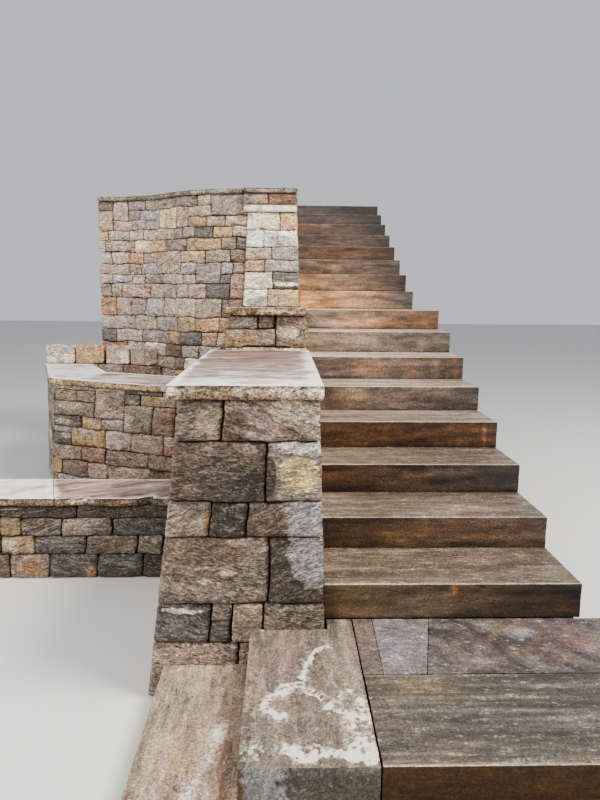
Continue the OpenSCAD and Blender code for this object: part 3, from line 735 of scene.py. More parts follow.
for i, (left_color, right_color, marks) in enumerate(risers, start=1):
    z, y = LANDING_Z + (i - 1) * RISE, (i - 1) * GOING
    x0, x1 = -0.5 - 0.033 * z, 0.5 if i <= 8 else 0.371 + 0.0076 * (i - 9)
    bm = saw_grid((x0, y, z), (x1, y + GOING + OVERLAP, z + RISE), (90, 24, 12))
    take_arris(bm, 0.0028)
    # Painted shade: the upper flight's risers, from the ninth up, are darkened a little more with each
    # step.
    upper_riser_shade = 1.0 if i < 9 else 0.76 - 0.012 * (i - 9)
    left_rock, right_rock = (tuple(c * upper_riser_shade for c in srgb(*shade)) for shade in (left_color, right_color))
    # The treads' colour grows paler step by step up the flight: a painted sheen of the sky on the upper
    # treads.
    tread_rock_with_sheen = mix3(srgb(119, 104, 90), srgb(208, 191, 177), (i - 3) / 3)
    seed = random.Random(i).uniform(-20, 20)

    def step_figure(co, up):
        f = (co.x - x0) / (x1 - x0)
        sway = drift(co.x * 2.2, seed, co.z * 9)
        if up:
            back = (co.y - y) / GOING
            rock = mix3(tread_rock_with_sheen, srgb(82, 68, 56), 0.75 * drift(co.x * 1.3, co.y * 14, seed) + 0.15)
            pale = drift(co.x * 2.6, co.y * 30, seed + 9) + 0.4 * drift(co.x * 9, co.y * 60, seed)
            rock = mix3(rock, PALE, 0.45 * max(0.0, pale))
            # A pale band along the front arris: partly a worn arris, partly a painted highlight, wider on
            # the upper steps.
            arris = fade(back * GOING, 0.01 + 0.006 * min(8, max(0, i - 2)))
            rock = mix3(rock, PALE, 0.75 * arris + 0.12 * sway)
            # Painted shade with dirt: the tread's back darkens in the crease at the foot of the next riser.
            rock = mix3(rock, srgb(86, 72, 58), 0.6 * max(0.0, back - 0.88) / 0.12)
            blot = drift(co.x * 3.5, co.y * 9, seed)
            # Painted shade, partly damp: the tread darkens towards its right end.
            light = (1.08 - 0.28 * f) ** 2.2
            return tuple(c * light for c in rock), 0.04 + 0.3 * max(0.0, blot), 1.0
        rock = mix3(left_rock, right_rock, f + 0.35 * sway)
        for cx, cz, rx, rz, shade, strength in marks:
            wobble = noise.noise_vector(Vector((co.x * 9, co.z * 22, i)))
            there = spot(co.x + 0.25 * rx * wobble.x, co.z - z + 0.3 * rz * wobble.y, cx, cz, rx, rz)
            # The marks take the same painted shade as their riser.
            rock = mix3(rock, tuple(c * upper_riser_shade for c in srgb(*shade)), 0.75 * strength * there)
        vein = drift(co.x * 2.6 + seed, 4, co.z * 26 + 1.4 * sway)
        vein += 0.6 * drift(co.x * 12, seed, co.z * 60)
        # Painted shade, partly damp: the riser darkens towards its right end, and its veins vary it along
        # the way.
        light = (1.15 - 0.05 * f - 0.42 * f * f) ** 2.2 * (1 + 0.75 * vein)
        # Painted shade with dirt: the riser darkens where it meets the tread below.
        light *= 1 - 0.32 * fade(co.z - z, 0.015)
        return tuple(c * light for c in rock), 0.0, 0.08

    paint(bm, step_figure)
    finish_piece(bm, "block_step_%02d" % i, ["step_%02d" % i], [sawn_across])

# The landing's edge blocks: the one on the left is sawn along the flight and is veiled with a
# white bloom in a net of lines, the front one lies across and has a plain brown face.
net = [(-0.509, -0.204), (-0.534, -0.218), (-0.566, -0.247), (-0.58, -0.31), (-0.602, -0.389),
       (-0.61, -0.438)]
ladder = [(-0.59, -0.463), (-0.549, -0.498), (-0.525, -0.554)]
ring = [(-0.525, -0.554), (-0.501, -0.51), (-0.463, -0.476), (-0.429, -0.488), (-0.422, -0.545),
        (-0.408, -0.593)]
low_line = [(-0.525, -0.56), (-0.506, -0.576), (-0.474, -0.587), (-0.449, -0.603), (-0.41, -0.609)]
twig = [(-0.467, -0.587), (-0.454, -0.649)]
arm = [(-0.61, -0.444), (-0.66, -0.45), (-0.702, -0.508), (-0.722, -0.552), (-0.687, -0.587),
       (-0.661, -0.595)]
hem = [(-0.655, -0.741), (-0.607, -0.785), (-0.564, -0.76), (-0.509, -0.769), (-0.419, -0.775)]
blooms = [(net, 0.011, 0.8), (net, 0.03, 0.25), (ring, 0.011, 0.55), (low_line, 0.009, 0.75),
          (twig, 0.005, 0.6), (arm, 0.024, 0.6), (hem, 0.026, 0.95), (hem, 0.05, 0.4),
          (ring, 0.035, 0.35), (low_line, 0.03, 0.4)]
rungs = []
for (ax, ay), (bx, by) in zip(ladder, ladder[1:]):
    run = math.hypot(bx - ax, by - ay)
    nx, ny = 0.012 * (ay - by) / run, 0.012 * (bx - ax) / run
    rungs += [[(ax + nx, ay + ny), (bx + nx, by + ny)], [(ax - nx, ay - ny), (bx - nx, by - ny)]]
    for n in range(1, int(run / 0.015) + 1):
        cx, cy = ax + (bx - ax) * n * 0.015 / run, ay + (by - ay) * n * 0.015 / run
        rungs.append([(cx + nx, cy + ny), (cx - nx + 0.3 * ny, cy - ny - 0.3 * nx)])


def near_line(x, y, line):
    """Distance from a point to a line of points."""
    best = 9.0
    for (ax, ay), (bx, by) in zip(line, line[1:]):
        dx, dy = bx - ax, by - ay
        t = min(1.0, max(0.0, ((x - ax) * dx + (y - ay) * dy) / (dx * dx + dy * dy)))
        best = min(best, math.hypot(x - ax - t * dx, y - ay - t * dy))
    return best


def side_figure(co, up):
    wave, fine = (noise.noise_vector(Vector((co.x, co.y, co.z)) * size) for size in (14, 60))
    x, y = co.x + 0.012 * wave.x + 0.005 * fine.x, co.y + 0.012 * wave.y + 0.005 * fine.y
    if up:
        run = drift(co.x * 24, co.y * 1.4, 5)
        rock = mix3(srgb(96, 86, 76), srgb(136, 121, 107), 0.5 + 0.9 * run + 0.4 * fine.y)
        rock = mix3(rock, srgb(88, 82, 84), 0.5 * fade(co.x + 0.715 - 0.02 * run, 0.02))
        rock = mix3(rock, srgb(152, 130, 116), 0.4 * spot(co.x, co.y, -0.655, -0.25, 0.05, 0.14))
        white = max(strength * fade(near_line(x, y, line), reach * (1 + 0.5 * wave.z))
                    for line, reach, strength in blooms)
        if abs(x + 0.56) < 0.06 and abs(y + 0.51) < 0.07:
            white = max(white, max(0.8 * fade(near_line(x, y, rung), 0.0035) for rung in rungs))
        web = abs(drift(co.x * 30, co.y * 30, 21))
        white += 0.35 * spot(x, y, -0.45, -0.62, 0.05, 0.05) * max(0.0, 1 - web / 0.08)
        white += 0.85 * spot(x, y, -0.445, -0.71, 0.05, 0.08) + 0.5 * spot(x, y, -0.75, -0.735, 0.035, 0.05)
        white += 0.16 * fade(min(near_line(x, y, line) for line, _, _ in blooms), 0.03)
        # Painted highlight along the block's left top arris, carried in the bloom.
        white += 0.22 * fade(co.x + 0.775, 0.012) * (0.5 + wave.z)
        return rock, min(1.1, 0.16 + 0.1 * wave.z + white * (0.8 + 0.9 * fine.z)), 0.6
    rock = mix3(srgb(92, 86, 80), srgb(72, 68, 64), 0.5 + drift(co.x * 12, 2, co.z * 16))
    edge = 0.07 - abs(co.x + 0.72) + 0.05 * wave.x + 0.03 * fine.x
    rock = mix3(rock, srgb(142, 143, 148), 0.9 * min(1.0, max(0.0, edge / 0.006)) * (0.8 + 0.3 * fine.z))
    rock = mix3(rock, srgb(38, 36, 36), 0.7 * fade(edge, 0.008) * max(0.0, 0.6 + fine.y))
    rock = mix3(rock, srgb(92, 66, 42), 0.9 * spot(x, co.z, -0.785, 0.2, 0.018, 0.06))
    rock = mix3(rock, srgb(132, 122, 108), 0.6 * spot(x, co.z, -0.45, 0.27, 0.1, 0.014))
    return rock, 0.1, 0.45


def join_in(bm, other):
    """Adds another mesh to this one."""
    mesh = bpy.data.meshes.new("part")
    other.to_mesh(mesh)
    other.free()
    bm.from_mesh(mesh)
    bpy.data.meshes.remove(mesh)


bm = saw_grid((-0.790, FRONT_Y, RISE), (-0.402, -0.08, LANDING_Z), (110, 200, 16))
take_arris(bm, 0.003)
tail = saw_grid((-0.5, -0.08, RISE), (-0.402, RISER_FOOT_Y, LANDING_Z), (14, 10, 8))
take_arris(tail, 0.002)
join_in(bm, tail)
bm.normal_update()
bm.verts.index_update()
paint(bm, side_figure)
finish_piece(bm, "side_edge_block", ["side_block"], [sawn_along])


def front_figure(co, up):
    if up:
        run = drift(co.x * 1.6, co.y * 18, 9)
        rock = mix3(srgb(56, 50, 44), srgb(92, 84, 74), 0.5 + 0.9 * run)
        rock = mix3(rock, srgb(60, 60, 63), 0.7 * spot(co.x, co.y, 0.2, -0.60, 0.35, 0.07))
        rock = mix3(rock, srgb(124, 100, 74), 0.45 * spot(co.x, co.y, -0.22, -0.45, 0.12, 0.05))
        rock = mix3(rock, srgb(146, 136, 120), 0.5 * max(0.0, drift(co.x * 2, co.y * 46, 4)))
        # The front arris: partly worn pale, partly a painted highlight.
        rock = mix3(rock, PALE, 0.5 * fade(co.y + 0.814, 0.01))
        blot = drift(co.x * 4, co.y * 9, 1)
        return rock, 0.02 + 0.12 * max(0.0, blot), 0.8
    rock = mix3(srgb(74, 51, 27), srgb(60, 43, 26), 0.5 + drift(co.x * 3, 4, co.z * 10))
    return rock, 0.0, 0.05


bm = saw_grid((-0.398, FRONT_Y, RISE), (0.607, -0.381, LANDING_Z), (110, 60, 10))
take_arris(bm, 0.003)
paint(bm, front_figure)
finish_piece(bm, "front_edge_block", ["front_block"], [sawn_across])

# The paved strip behind the front block: three mauve-grey slabs with slanting seams. The right
# one carries a big swirl of grey bands, ochre veins and a pale patch.
sweep_band = [(-0.02, 0.0), (0.094, -0.153), (0.128, -0.287), (0.16, -0.38)]
ochre_vein = [(0.26, 0.0), (0.229, -0.05), (0.15, -0.115), (0.10, -0.16)]
rust_vein = [(0.33, -0.07), (0.30, -0.12), (0.262, -0.166), (0.216, -0.223), (0.15, -0.27),
             (-0.075, -0.327)]
crack = [(0.316, -0.09), (0.29, -0.16), (0.238, -0.245), (0.33, -0.34), (0.42, -0.38)]


def slab_figure(co, up):
    wave = noise.noise_vector(Vector((co.x * 9, co.y * 9, 7)))
    x, y = co.x + 0.02 * wave.x, co.y + 0.02 * wave.y
    fine = drift(co.x * 30, co.y * 30, 1)
    seam_a, seam_b = -0.333 + 0.009 * (co.y + 0.377) / 0.373, -0.184 + 0.085 * (co.y + 0.377) / 0.373
    if co.x < seam_a:
        return mix3(srgb(112, 96, 86), srgb(92, 82, 78), 0.5 + fine), 0.1, 0.5
    if co.x < seam_b:
        rock = mix3(srgb(92, 85, 84), srgb(120, 113, 114), 0.5 + 0.8 * wave.z)
        rock = mix3(rock, srgb(138, 135, 140), 0.5 * spot(x, y, -0.28, -0.25, 0.06, 0.08))
        return rock, 0.14 + 0.2 * fine, 0.7
    flow = Vector((x * 2.2 - y * 1.6 + 0.3 * wave.x, x * 3.2 + y * 7.5 + 0.5 * wave.y, 3))
    bands = noise.noise(flow * 2) + 0.6 * noise.noise(flow * 5)
    rock = mix3(srgb(58, 52, 51), srgb(100, 90, 87), 0.5 + 1.1 * bands)
    rock = mix3(rock, srgb(112, 92, 76), 0.7 * max(0.0, noise.noise(flow * 1.3 + Vector((9, 2, 0)))))
    band = near_line(x, y, sweep_band)
    rock = mix3(rock, srgb(48, 42, 42), 0.9 * fade(band, 0.035) * (0.6 + 0.4 * math.sin(band * 260)))
    rock = mix3(rock, srgb(118, 108, 92), 0.6 * spot(x, y, 0.13, -0.04, 0.07, 0.04))
    rock = mix3(rock, srgb(146, 146, 148), 0.8 * spot(x, y, 0.225, -0.105, 0.05, 0.035))
    rock = mix3(rock, srgb(128, 102, 78), 0.6 * fade(near_line(x, y, ochre_vein), 0.014))
    rock = mix3(rock, srgb(116, 92, 76), 0.5 * fade(near_line(x, y, rust_vein), 0.012))
    rock = mix3(rock, srgb(134, 120, 112), 0.6 * spot(x, y, 0.03, -0.31, 0.05, 0.03))
    rock = mix3(rock, srgb(72, 62, 58), 0.8 * fade(near_line(x, y, crack), 0.004))
    rock = mix3(rock, srgb(122, 88, 76), 0.6 * spot(x, y, 0.40, -0.18, 0.05, 0.03))
    return rock, 0.02 + 0.1 * fine, 0.6


def slab_of(ends, low, high, cells):
    """A sawn slab of the strip with slanting ends: a square block sheared to its corners, whose x
    runs round from the front left one."""
    bm = saw_grid((0, 0, low), (1, 1, high), cells)
    ax, bx, cx, dx = ends
    for v in bm.verts:
        u, w = v.co.x, v.co.y
        v.co.x = (ax * (1 - u) + bx * u) * (1 - w) + (dx * (1 - u) + cx * u) * w
        v.co.y = STRIP_Y * (1 - w) + RISER_FOOT_Y * w
    take_arris(bm, 0.0015)
    return bm


strip = [
    ((-0.398, -0.332, -0.323, -0.398), (8, 40, 2)),
    ((-0.3305, -0.185, -0.1, -0.3215), (18, 40, 2)),
    ((-0.1835, 0.607, 0.607, -0.0985), (150, 80, 2)),
]
bm = bmesh.new()
for ends, cells in strip:
    join_in(bm, slab_of(ends, LANDING_Z - 0.04, LANDING_Z, cells))
bm.normal_update()
bm.verts.index_update()
paint(bm, slab_figure)
finish_piece(bm, "landing_slabs_sawn", ["landing_slabs"], [
    sawn_material("sawn_slab", (0.6, 1.0, 1.0), 0.0015)])

# The lower step wraps round the landing: a warm tan block down its left side, crusted white
# along one seam, and its like across the front.
crust = [(-0.86, -0.42), (-0.885, -0.52), (-0.90, -0.62), (-0.93, -0.72), (-0.96, -0.80)]
rust_seam = [(-0.84, -0.40), (-0.852, -0.53), (-0.849, -0.68), (-0.86, -0.80)]


def lower_figure(co, up):
    wave = noise.noise_vector(Vector((co.x * 12, co.y * 12, 2)))
    x, y = co.x + 0.015 * wave.x, co.y + 0.015 * wave.y
    sawn = (co.x * 26, co.y * 3, 8) if co.y > -0.786 else (co.x * 3, co.y * 26, 8)
    fine = noise.noise(Vector(sawn))
    rock = mix3(srgb(124, 108, 92), srgb(168, 150, 131), 0.5 + 0.8 * fine)
    if not up:
        return mix3(rock, srgb(96, 80, 62), 0.6), 0.05, 0.3
    white = 0.22
    if co.y > -0.8:
        rock = mix3(rock, srgb(150, 116, 96), 0.6 * fade(near_line(x, y, rust_seam), 0.02))
        rock = mix3(rock, srgb(164, 136, 94), 0.5 * spot(x, y, -0.98, -0.62, 0.05, 0.06))
        white += 0.5 * fade(near_line(x, y, crust), 0.03)
        white += 0.3 * spot(x, y, -1.052, -0.24, 0.012, 0.06)
    return rock, white + 0.25 * wave.z, 0.85


bm = saw_grid((-1.118, -0.784, 0), (-0.765, -0.08, RISE), (50, 90, 8))
take_arris(bm, 0.004)
paint(bm, lower_figure)
finish_piece(bm, "lower_step_left_block", ["lower_step_side"], [sawn_along])
bm = saw_grid((-1.118, -1.184, 0), (0.607, -0.788, RISE), (86, 22, 7))
take_arris(bm, 0.004)
paint(bm, lower_figure)
finish_piece(bm, "lower_step_front_block", ["lower_step_front"], [sawn_across])

# The cheek wall's lowest part: a pier-like wall end of large split blocks that leans in on its
# left side. Its front courses are laid as they are seen, the hidden sides go on in kind.
PIER_TOP, PIER_BACK = 1.16, 1.3
pier_levels = [0.0, 0.225, 0.378, 0.637, 0.774, 0.998, PIER_TOP]


def pier_left(z):
    return -1.184 + 0.122 * z


pier_rows = [
    [(0.49, "olive"), (1.0, "mauve")],
    [(0.32, "slate"), (0.445, None), (0.64, "olive"), (1.0, "olive")],
    [(0.664, "olive"), (1.0, "dark")],
    [(0.285, "olive"), (0.515, "dark"), (1.0, "brown")],
    [(0.629, "bark"), (1.0, "grey")],
    [(0.32, "olive"), (1.0, "pink")],
]
pier_marks = {
    (0, 0): [("tan", 0.5, 0.8, 0.5, 0.2), ("slate", 0.75, 0.2, 0.2, 0.3)],
    (1, 0): [("white", 0.45, 0.86, 0.4, 0.07)],
    (2, 0): [("cream", 0.42, 0.36, 0.06, 0.06), ("cream", 0.62, 0.5, 0.1, 0.04),
             ("brown", 0.3, 0.8, 0.5, 0.2)],
    (2, 1): [("steel", 0.95, 0.88, 0.62, 0.62)],
    (3, 0): [("golden", 0.95, 0.5, 0.07, 0.5), ("tan", 0.3, 0.6, 0.3, 0.2)],
    (3, 2): [("steel", 1.1, 0.5, 0.58, 1.2)],
    (4, 0): [("dark", 0.7, 0.3, 0.4, 0.3), ("olive", 0.6, 0.9, 0.3, 0.12)],
    (4, 1): [("straw", 0.6, 0.48, 0.36, 0.32), ("dark", 0.06, 0.42, 0.13, 0.36),
             ("white", 0.7, 0.92, 0.5, 0.12)],
    (5, 0): [("tan", 0.8, 0.4, 0.4, 0.4)],
    (5, 1): [("brown", 0.1, 0.35, 0.16, 0.4), ("cream", 0.75, 0.7, 0.3, 0.3)],
}
rng = random.Random(23)
pier = four_faces(pier_left, wall_right, lambda z: -0.08 + 0.012 * z, PIER_BACK, PIER_TOP)
bm = start_wall(["lower_pier"])
left_turn = [(True, deep) for _, deep in quoins(pier_levels, rng, 0, 0.2, 0.42)]
right_turn = [(True, deep) for _, deep in quoins(pier_levels, rng, 0, 0.15, 0.25)]
fill_face(bm, pier["front"], pier_levels, rng, 0.3, start=left_turn, end=right_turn, cell=0.0095,
          rows=dict(enumerate(pier_rows)), marks=pier_marks, joint=0.006, tone=1.07, stray=0.008)
by_eye = wander(pier["front"], 0.0, PIER_TOP, 0.008)
stacked = (0.32 * by_eye[1], 0.445 * by_eye[1])
for low, high, kind in ((0.225, 0.312, "slate"), (0.312, 0.378, "mauve")):
    lay_stone(bm, by_eye, stacked, (low, high), kind, rng, 0.0095, joint=0.006, tone=1.07)
fill_face(bm, pier["left"], pier_levels, rng, 0.34, end=other_side(left_turn), jump=0.05)
fill_face(bm, pier["right"], pier_levels, rng, 0.3, start=other_side(right_turn),
          skip=lambda s, z0, z1: z1 < stair_z(s - 0.08) - 0.1)
finish_piece(bm, "lower_pier_stones", ["lower_pier"], laid_stone)

# The cap slabs: mauve-grey sandstone, sawn on top with fine cross streaks, and pitched by hand
# to a rough ochre and white edge all round.


def cut_cap(outline, low, high, seed, rough=0.006, step=0.025, fall=None, tone=1.0, worn=None, cell=0.05,
            figure=None):
    """A cap slab cut to its outline: the edge is split off in small scallops, the top is sawn flat
    and rubbed white near its rim. figure(co, top) gives its own tint where it has one."""
    bm = bmesh.new()
    bm.faces.new([bm.verts.new((x, y, high)) for x, y in outline])
    for e in list(bm.edges):
        cuts = int(e.calc_length() / step)
        if cuts:
            bmesh.ops.subdivide_edges(bm, edges=[e], cuts=cuts)
    bm.normal_update()
    if bm.faces[:][0].normal.z < 0:
        bmesh.ops.reverse_faces(bm, faces=bm.faces)
    bmesh.ops.inset_region(bm, faces=bm.faces[:], thickness=0.007, use_boundary=True, use_even_offset=True)
    ring = [e for e in bm.edges if e.is_boundary]
    top_rim = {v for e in ring for v in e.verts}
    for axis in (0, 1):
        ends = [p[axis] for p in outline]
        for n in range(1, int((max(ends) - min(ends)) / cell)):
            tops = [f for f in bm.faces if not any(v in top_rim for v in f.verts)]
            cut = [*tops, *{e for f in tops for e in f.edges}, *{v for f in tops for v in f.verts}]
            at = Vector((1 - axis, axis, 0)) * (min(ends) + cell * n)
            bmesh.ops.bisect_plane(bm, geom=cut, plane_co=at, plane_no=(1 - axis, axis, 0), dist=1e-5)
    for z in (high - 0.0035, high - (high - low) * 0.35, high - (high - low) * 0.7, low):
        grown = bmesh.ops.extrude_edge_only(bm, edges=ring)["geom"]
        for v in (g for g in grown if isinstance(g, bmesh.types.BMVert)):
            v.co.z = z
        ring = [g for g in grown if isinstance(g, bmesh.types.BMEdge) and g.is_boundary]
    bmesh.ops.contextual_create(bm, geom=ring)
    bmesh.ops.recalc_face_normals(bm, faces=bm.faces)
    tint = bm.verts.layers.float_color.new("tint")
    for v in bm.verts:
        wear = 0.8 * max(0.0, 1 - near_line(v.co.x, v.co.y, [*outline, outline[0]]) / 0.04)
        shade = figure(v.co, v.co.z > high - 0.001) if figure else (1.0, 1.0, 1.0)
        v[tint] = (*(tone * value for value in shade), min(1.0, wear + (worn(v.co) if worn else 0)))
    for v in (v for v in bm.verts if v.co.z < high - 0.001 or v in top_rim):
        p = v.co + Vector((seed * 3.7, 0, 0))
        chip = noise.noise_vector(p * 14.0) * rough + noise.noise_vector(p * 47.0) * rough * 0.6
        belly = 0.2 * rough if low + 0.004 < v.co.z < high - 0.004 else -0.8 * rough
        side = Vector((v.normal.x, v.normal.y, 0))
        top = v.co.z > high - 0.001
        v.co += side * belly + Vector((chip.x, chip.y, 0 if top else chip.z * 0.5))
        v.co.z = max(v.co.z, low)
    if fall:
        for v in bm.verts:
            v.co.z -= fall(v.co.y)
    for f in bm.faces:
        f.material_index = 0 if f.normal.z > 0.8 and f.calc_center_median().z > high - 0.04 else 1
        f.smooth = f.material_index == 1
    return bm


def cap_top_look(at, turn=0.0):
    """A cap's sawn top, its streaks turned from the x axis, rubbed white where it is worn."""
    tone, wear = attribute(at.tree, "tint"), attribute(at.tree, "tint", "Alpha")
    at = wire(at.tree, "ShaderNodeVectorRotate", {"Vector": at, "Angle": turn}, rotation_type="Z_AXIS")
    line = speckle(at, 60.0, 4.0, 0.65, (0.2, 1.0, 1.0), 0.4)
    streak = speckle(at, 16.0, 4.0, 0.6, (0.25, 1.0, 1.0), 0.8)
    wide = speckle(at, 5.0, 3.0, 0.6, (0.4, 1.0, 1.0), 0.8)
    grain = speckle(at, 150.0, 3.0, 0.7)
    color = blend(lift(streak, 0.0, 1.0), srgb(104, 91, 84), srgb(162, 149, 144))
    color = shaded(color, lift(line, 0.7, 1.3) * lift(grain, 0.76, 1.24))
    color = blend(ramp(wide, 0.54, 0.66, 0.6), color, srgb(132, 112, 96))
    color = blend(ramp(streak, 0.42, 0.34, 0.8), color, srgb(74, 64, 60))
    color = blend(1.0, color, tone, "MULTIPLY")
    frost = wear + (line - 0.5) * 2.2 + (wide - 0.5) * 2.4
    color = blend(ramp(frost, 0.1, 0.9, 0.8), color, srgb(242, 238, 236))
    return color, line + grain * 0.5, streak * 0.25 + 0.42


def pitched_look(at):
    """A cap's edge, pitched by hand: ochre and grey lumps with dark pits and white grains."""
    patch = speckle(at, 9.0, 3.0, 0.6)
    lump = speckle(at, 58.0, 4.0, 0.68, (1.0, 1.0, 1.6), 0.4)
    grain = speckle(at, 120.0, 4.0, 0.75)
    grit = speckle(at, 210.0, 2.0)
    color = blend(ramp(patch, 0.42, 0.6), srgb(146, 126, 102), srgb(192, 181, 165))
    color = shaded(color, lift(lump, 0.1, 1.8) * lift(grain, 0.2, 1.75))
    color = blend(ramp(lump, 0.45, 0.36, 0.9), color, srgb(54, 43, 34))
    color = blend(1.0, color, attribute(at.tree, "tint"), "MULTIPLY")
    color = blend(ramp(grit, 0.56, 0.68, 0.5), color, srgb(232, 226, 214))
    return color, lump + grain * 0.4, grain * 0.2 + 0.72


def slanting_look(at):
    return cap_top_look(at, -0.5)


def rectangle(x0, x1, y0, y1):
    """A cap slab's square outline."""
    return [(x0, y0), (x1, y0), (x1, y1), (x0, y1)]


pitched_edge = finish_material("cap_pitched_edge", pitched_look, 0.01)
cap_finish = [finish_material("cap_sawn_top", cap_top_look, 0.0015), pitched_edge]
slanting_finish = [finish_material("cap_slanting_top", slanting_look, 0.0015), pitched_edge]


def lower_cap_figure(co, top):
    if top:
        brown = 0.9 * drift(co.x * 3, co.y * 3, 4) + 1.0 * co.y - 0.5 * (co.x + 0.8)
        cross = 1 + 0.3 * drift(co.x * 5, co.y * 32, 2)
        return tuple(c * cross for c in mix3((1.1, 1.06, 1.08), (0.8, 0.66, 0.57), brown))
    white = max(spot(co.x, co.y, -0.55, -0.12, 0.2, 0.2), spot(co.x, co.y, -1.08, -0.11, 0.045, 0.08))
    return mix3((0.8, 0.72, 0.61), (1.45, 1.46, 1.48), white + 0.5 * noise.noise(co * 22))


def lower_cap_wear(co):
    return 0.5 * max(0.0, 1 - (co.y + 0.11) / 0.5) + 0.2 * spot(co.x, co.y, -0.57, 0.6, 0.1, 0.5)


bm = cut_cap(rectangle(-1.0785, -0.528, -0.114, PIER_BACK), PIER_TOP, 1.21, 1, 0.009, 0.012,
             worn=lower_cap_wear, cell=0.04, figure=lower_cap_figure)
finish_piece(bm, "lower_cap_slab", ["lower_cap"], cap_finish)

# The middle part of the cheek wall, set back a little on its left, and its two cap slabs,
# which fall slightly towards the back.
CAP_LOW, CAP_HIGH, UPPER_TOP = 1.403, 1.443, 2.145
middle_levels = [0.0, 0.2, 0.36, 0.55, 0.71, 0.9, 1.06, 1.205, 1.226, 1.328, CAP_LOW]
middle_rows = {
    7: [(1.0, "cream")],
    8: [(0.62, "tan"), (1.0, "olive", 2)],
    9: [(0.39, "tan"), (0.6, "olive"), (1.0, None)],
}
middle_marks = {
    (8, 0): [("ochre", 0.3, 0.4, 0.4, 0.4)],
    (8, 1): [("cream", 0.4, 0.45, 0.4, 0.2), ("golden", 0.8, 0.1, 0.3, 0.1)],
}


def middle_left(z):
    return -1.15 + 0.122 * z


def upper_front(z):
    """The upper pier's front plane, which ends the middle wall."""
    return 2.94 - 0.03 * (UPPER_TOP - z)


rng = random.Random(31)
middle = four_faces(middle_left, wall_right, PIER_BACK, upper_front, 1.4)
bm = start_wall(["middle_wall"])
fill_face(bm, middle["front"], middle_levels, rng, 0.3, cell=0.01, rows=middle_rows,
          marks=middle_marks, skip=lambda s, z0, z1: z1 < 1.2, tone=1.12)
side_levels = [0.0, 0.2, 0.36, 0.55, 0.71, 0.9, 1.06, 1.22, 1.368]
fill_face(bm, middle["left"], side_levels, rng, 0.3, jump=0.05)
fill_face(bm, middle["right"], side_levels, rng, 0.3,
          skip=lambda s, z0, z1: z1 < stair_z(s + PIER_BACK) - 0.1)
finish_piece(bm, "middle_wall_stones", ["middle_wall"], laid_stone)


def middle_fall(y):
    return (y - PIER_BACK) * 0.035 / 1.6167


def weathered_edge(co, top):
    if top:
        return 1.08, 1.0, 0.94
    return mix3((0.5, 0.37, 0.24), (1.35, 1.2, 0.96), 0.45 + 1.8 * noise.noise(co * 34))


def middle_slab(y0, y1, seed, step):
    return cut_cap(rectangle(-0.9988, -0.5463, y0, y1), CAP_LOW, CAP_HIGH, seed, 0.008, step,
                   fall=middle_fall, tone=0.85, figure=weathered_edge)


bm = middle_slab(1.26, 2.2, 2, 0.012)
join_in(bm, middle_slab(2.204, 2.9167, 3, 0.025))
finish_piece(bm, "middle_cap_slabs", ["middle_cap"], cap_finish)

# The upper pier: pale hand-picked blocks, two to a course, under a white string slab, a course
# of two brown heads and a thin cap.
HIGH, HIGH_CAP, BAND_TOP, UPPER_BACK = 2.285, 2.319, 2.195, 3.39
upper_levels = [0.0, 0.17, 0.33, 0.52, 0.68, 0.86, 1.0, 1.14, 1.28, 1.411, 1.549, 1.682, 1.776, 1.877,
                2.007, UPPER_TOP]
upper_rows = {
    9: [(0.43, "white"), (1.0, "ochre")],
    10: [(0.525, "cream"), (1.0, "slate")],
    11: [(0.375, "orange"), (1.0, "mauve")],
    12: [(0.5, "tan"), (1.0, "mauve")],
    13: [(0.345, "white"), (1.0, "white")],
    14: [(0.655, "cream"), (1.0, "ochre")],
}
upper_marks = {
    (10, 1): [("cream", 0.5, 0.3, 0.5, 0.15)],
    (14, 0): [("straw", 0.6, 0.5, 0.3, 0.4)],
    (9, 0): [("tan", 0.6, 0.3, 0.4, 0.3)],
    (13, 1): [("grey", 0.5, 0.4, 0.4, 0.3)],
}


def upper_left(z):
    return -1.07 + 0.0545 * z


rng = random.Random(43)
upper = four_faces(upper_left, wall_right, upper_front, UPPER_BACK, UPPER_TOP)
bm = start_wall(["upper_pier"])
left_turn = [(True, 0.2) for _ in upper_levels]
right_turn = [(True, deep) for _, deep in quoins(upper_levels, rng, 0, 0.12, 0.3)]
fill_face(bm, upper["front"], upper_levels, rng, 0.25, ["cream", "white", "grey", "pink", "tan"],
          cell=0.012, joint=0.006, start=left_turn, end=right_turn, rows=upper_rows, marks=upper_marks,
          tone=1.78)
fill_face(bm, upper["right"], upper_levels, rng, 0.25, ["cream", "grey", "tan"],
          start=other_side(right_turn), skip=lambda s, z0, z1: z1 < 1.5, tone=1.1)
finish_piece(bm, "upper_pier_stones", ["upper_pier"], laid_stone)


def string_look(at):
    patch = speckle(at, 14.0, 3.0, 0.6)
    grain = speckle(at, 60.0, 5.0, 0.7)
    color = blend(ramp(patch, 0.35, 0.6), srgb(196, 176, 152), srgb(232, 226, 214))
    color = blend(ramp(grain, 0.44, 0.32, 0.8), color, srgb(96, 80, 64))
    return color, grain, grain * 0.2 + 0.7


string_stone = finish_material("white_string_slab", string_look, 0.008)
bx0, bx1, by0 = -0.9811, -0.5708, 2.912
bm = cut_cap(rectangle(bx0, bx1, by0, UPPER_BACK), UPPER_TOP, BAND_TOP, 4, 0.006, 0.025)
finish_piece(bm, "pier_band_slab", ["pier_band"], [string_stone, string_stone])

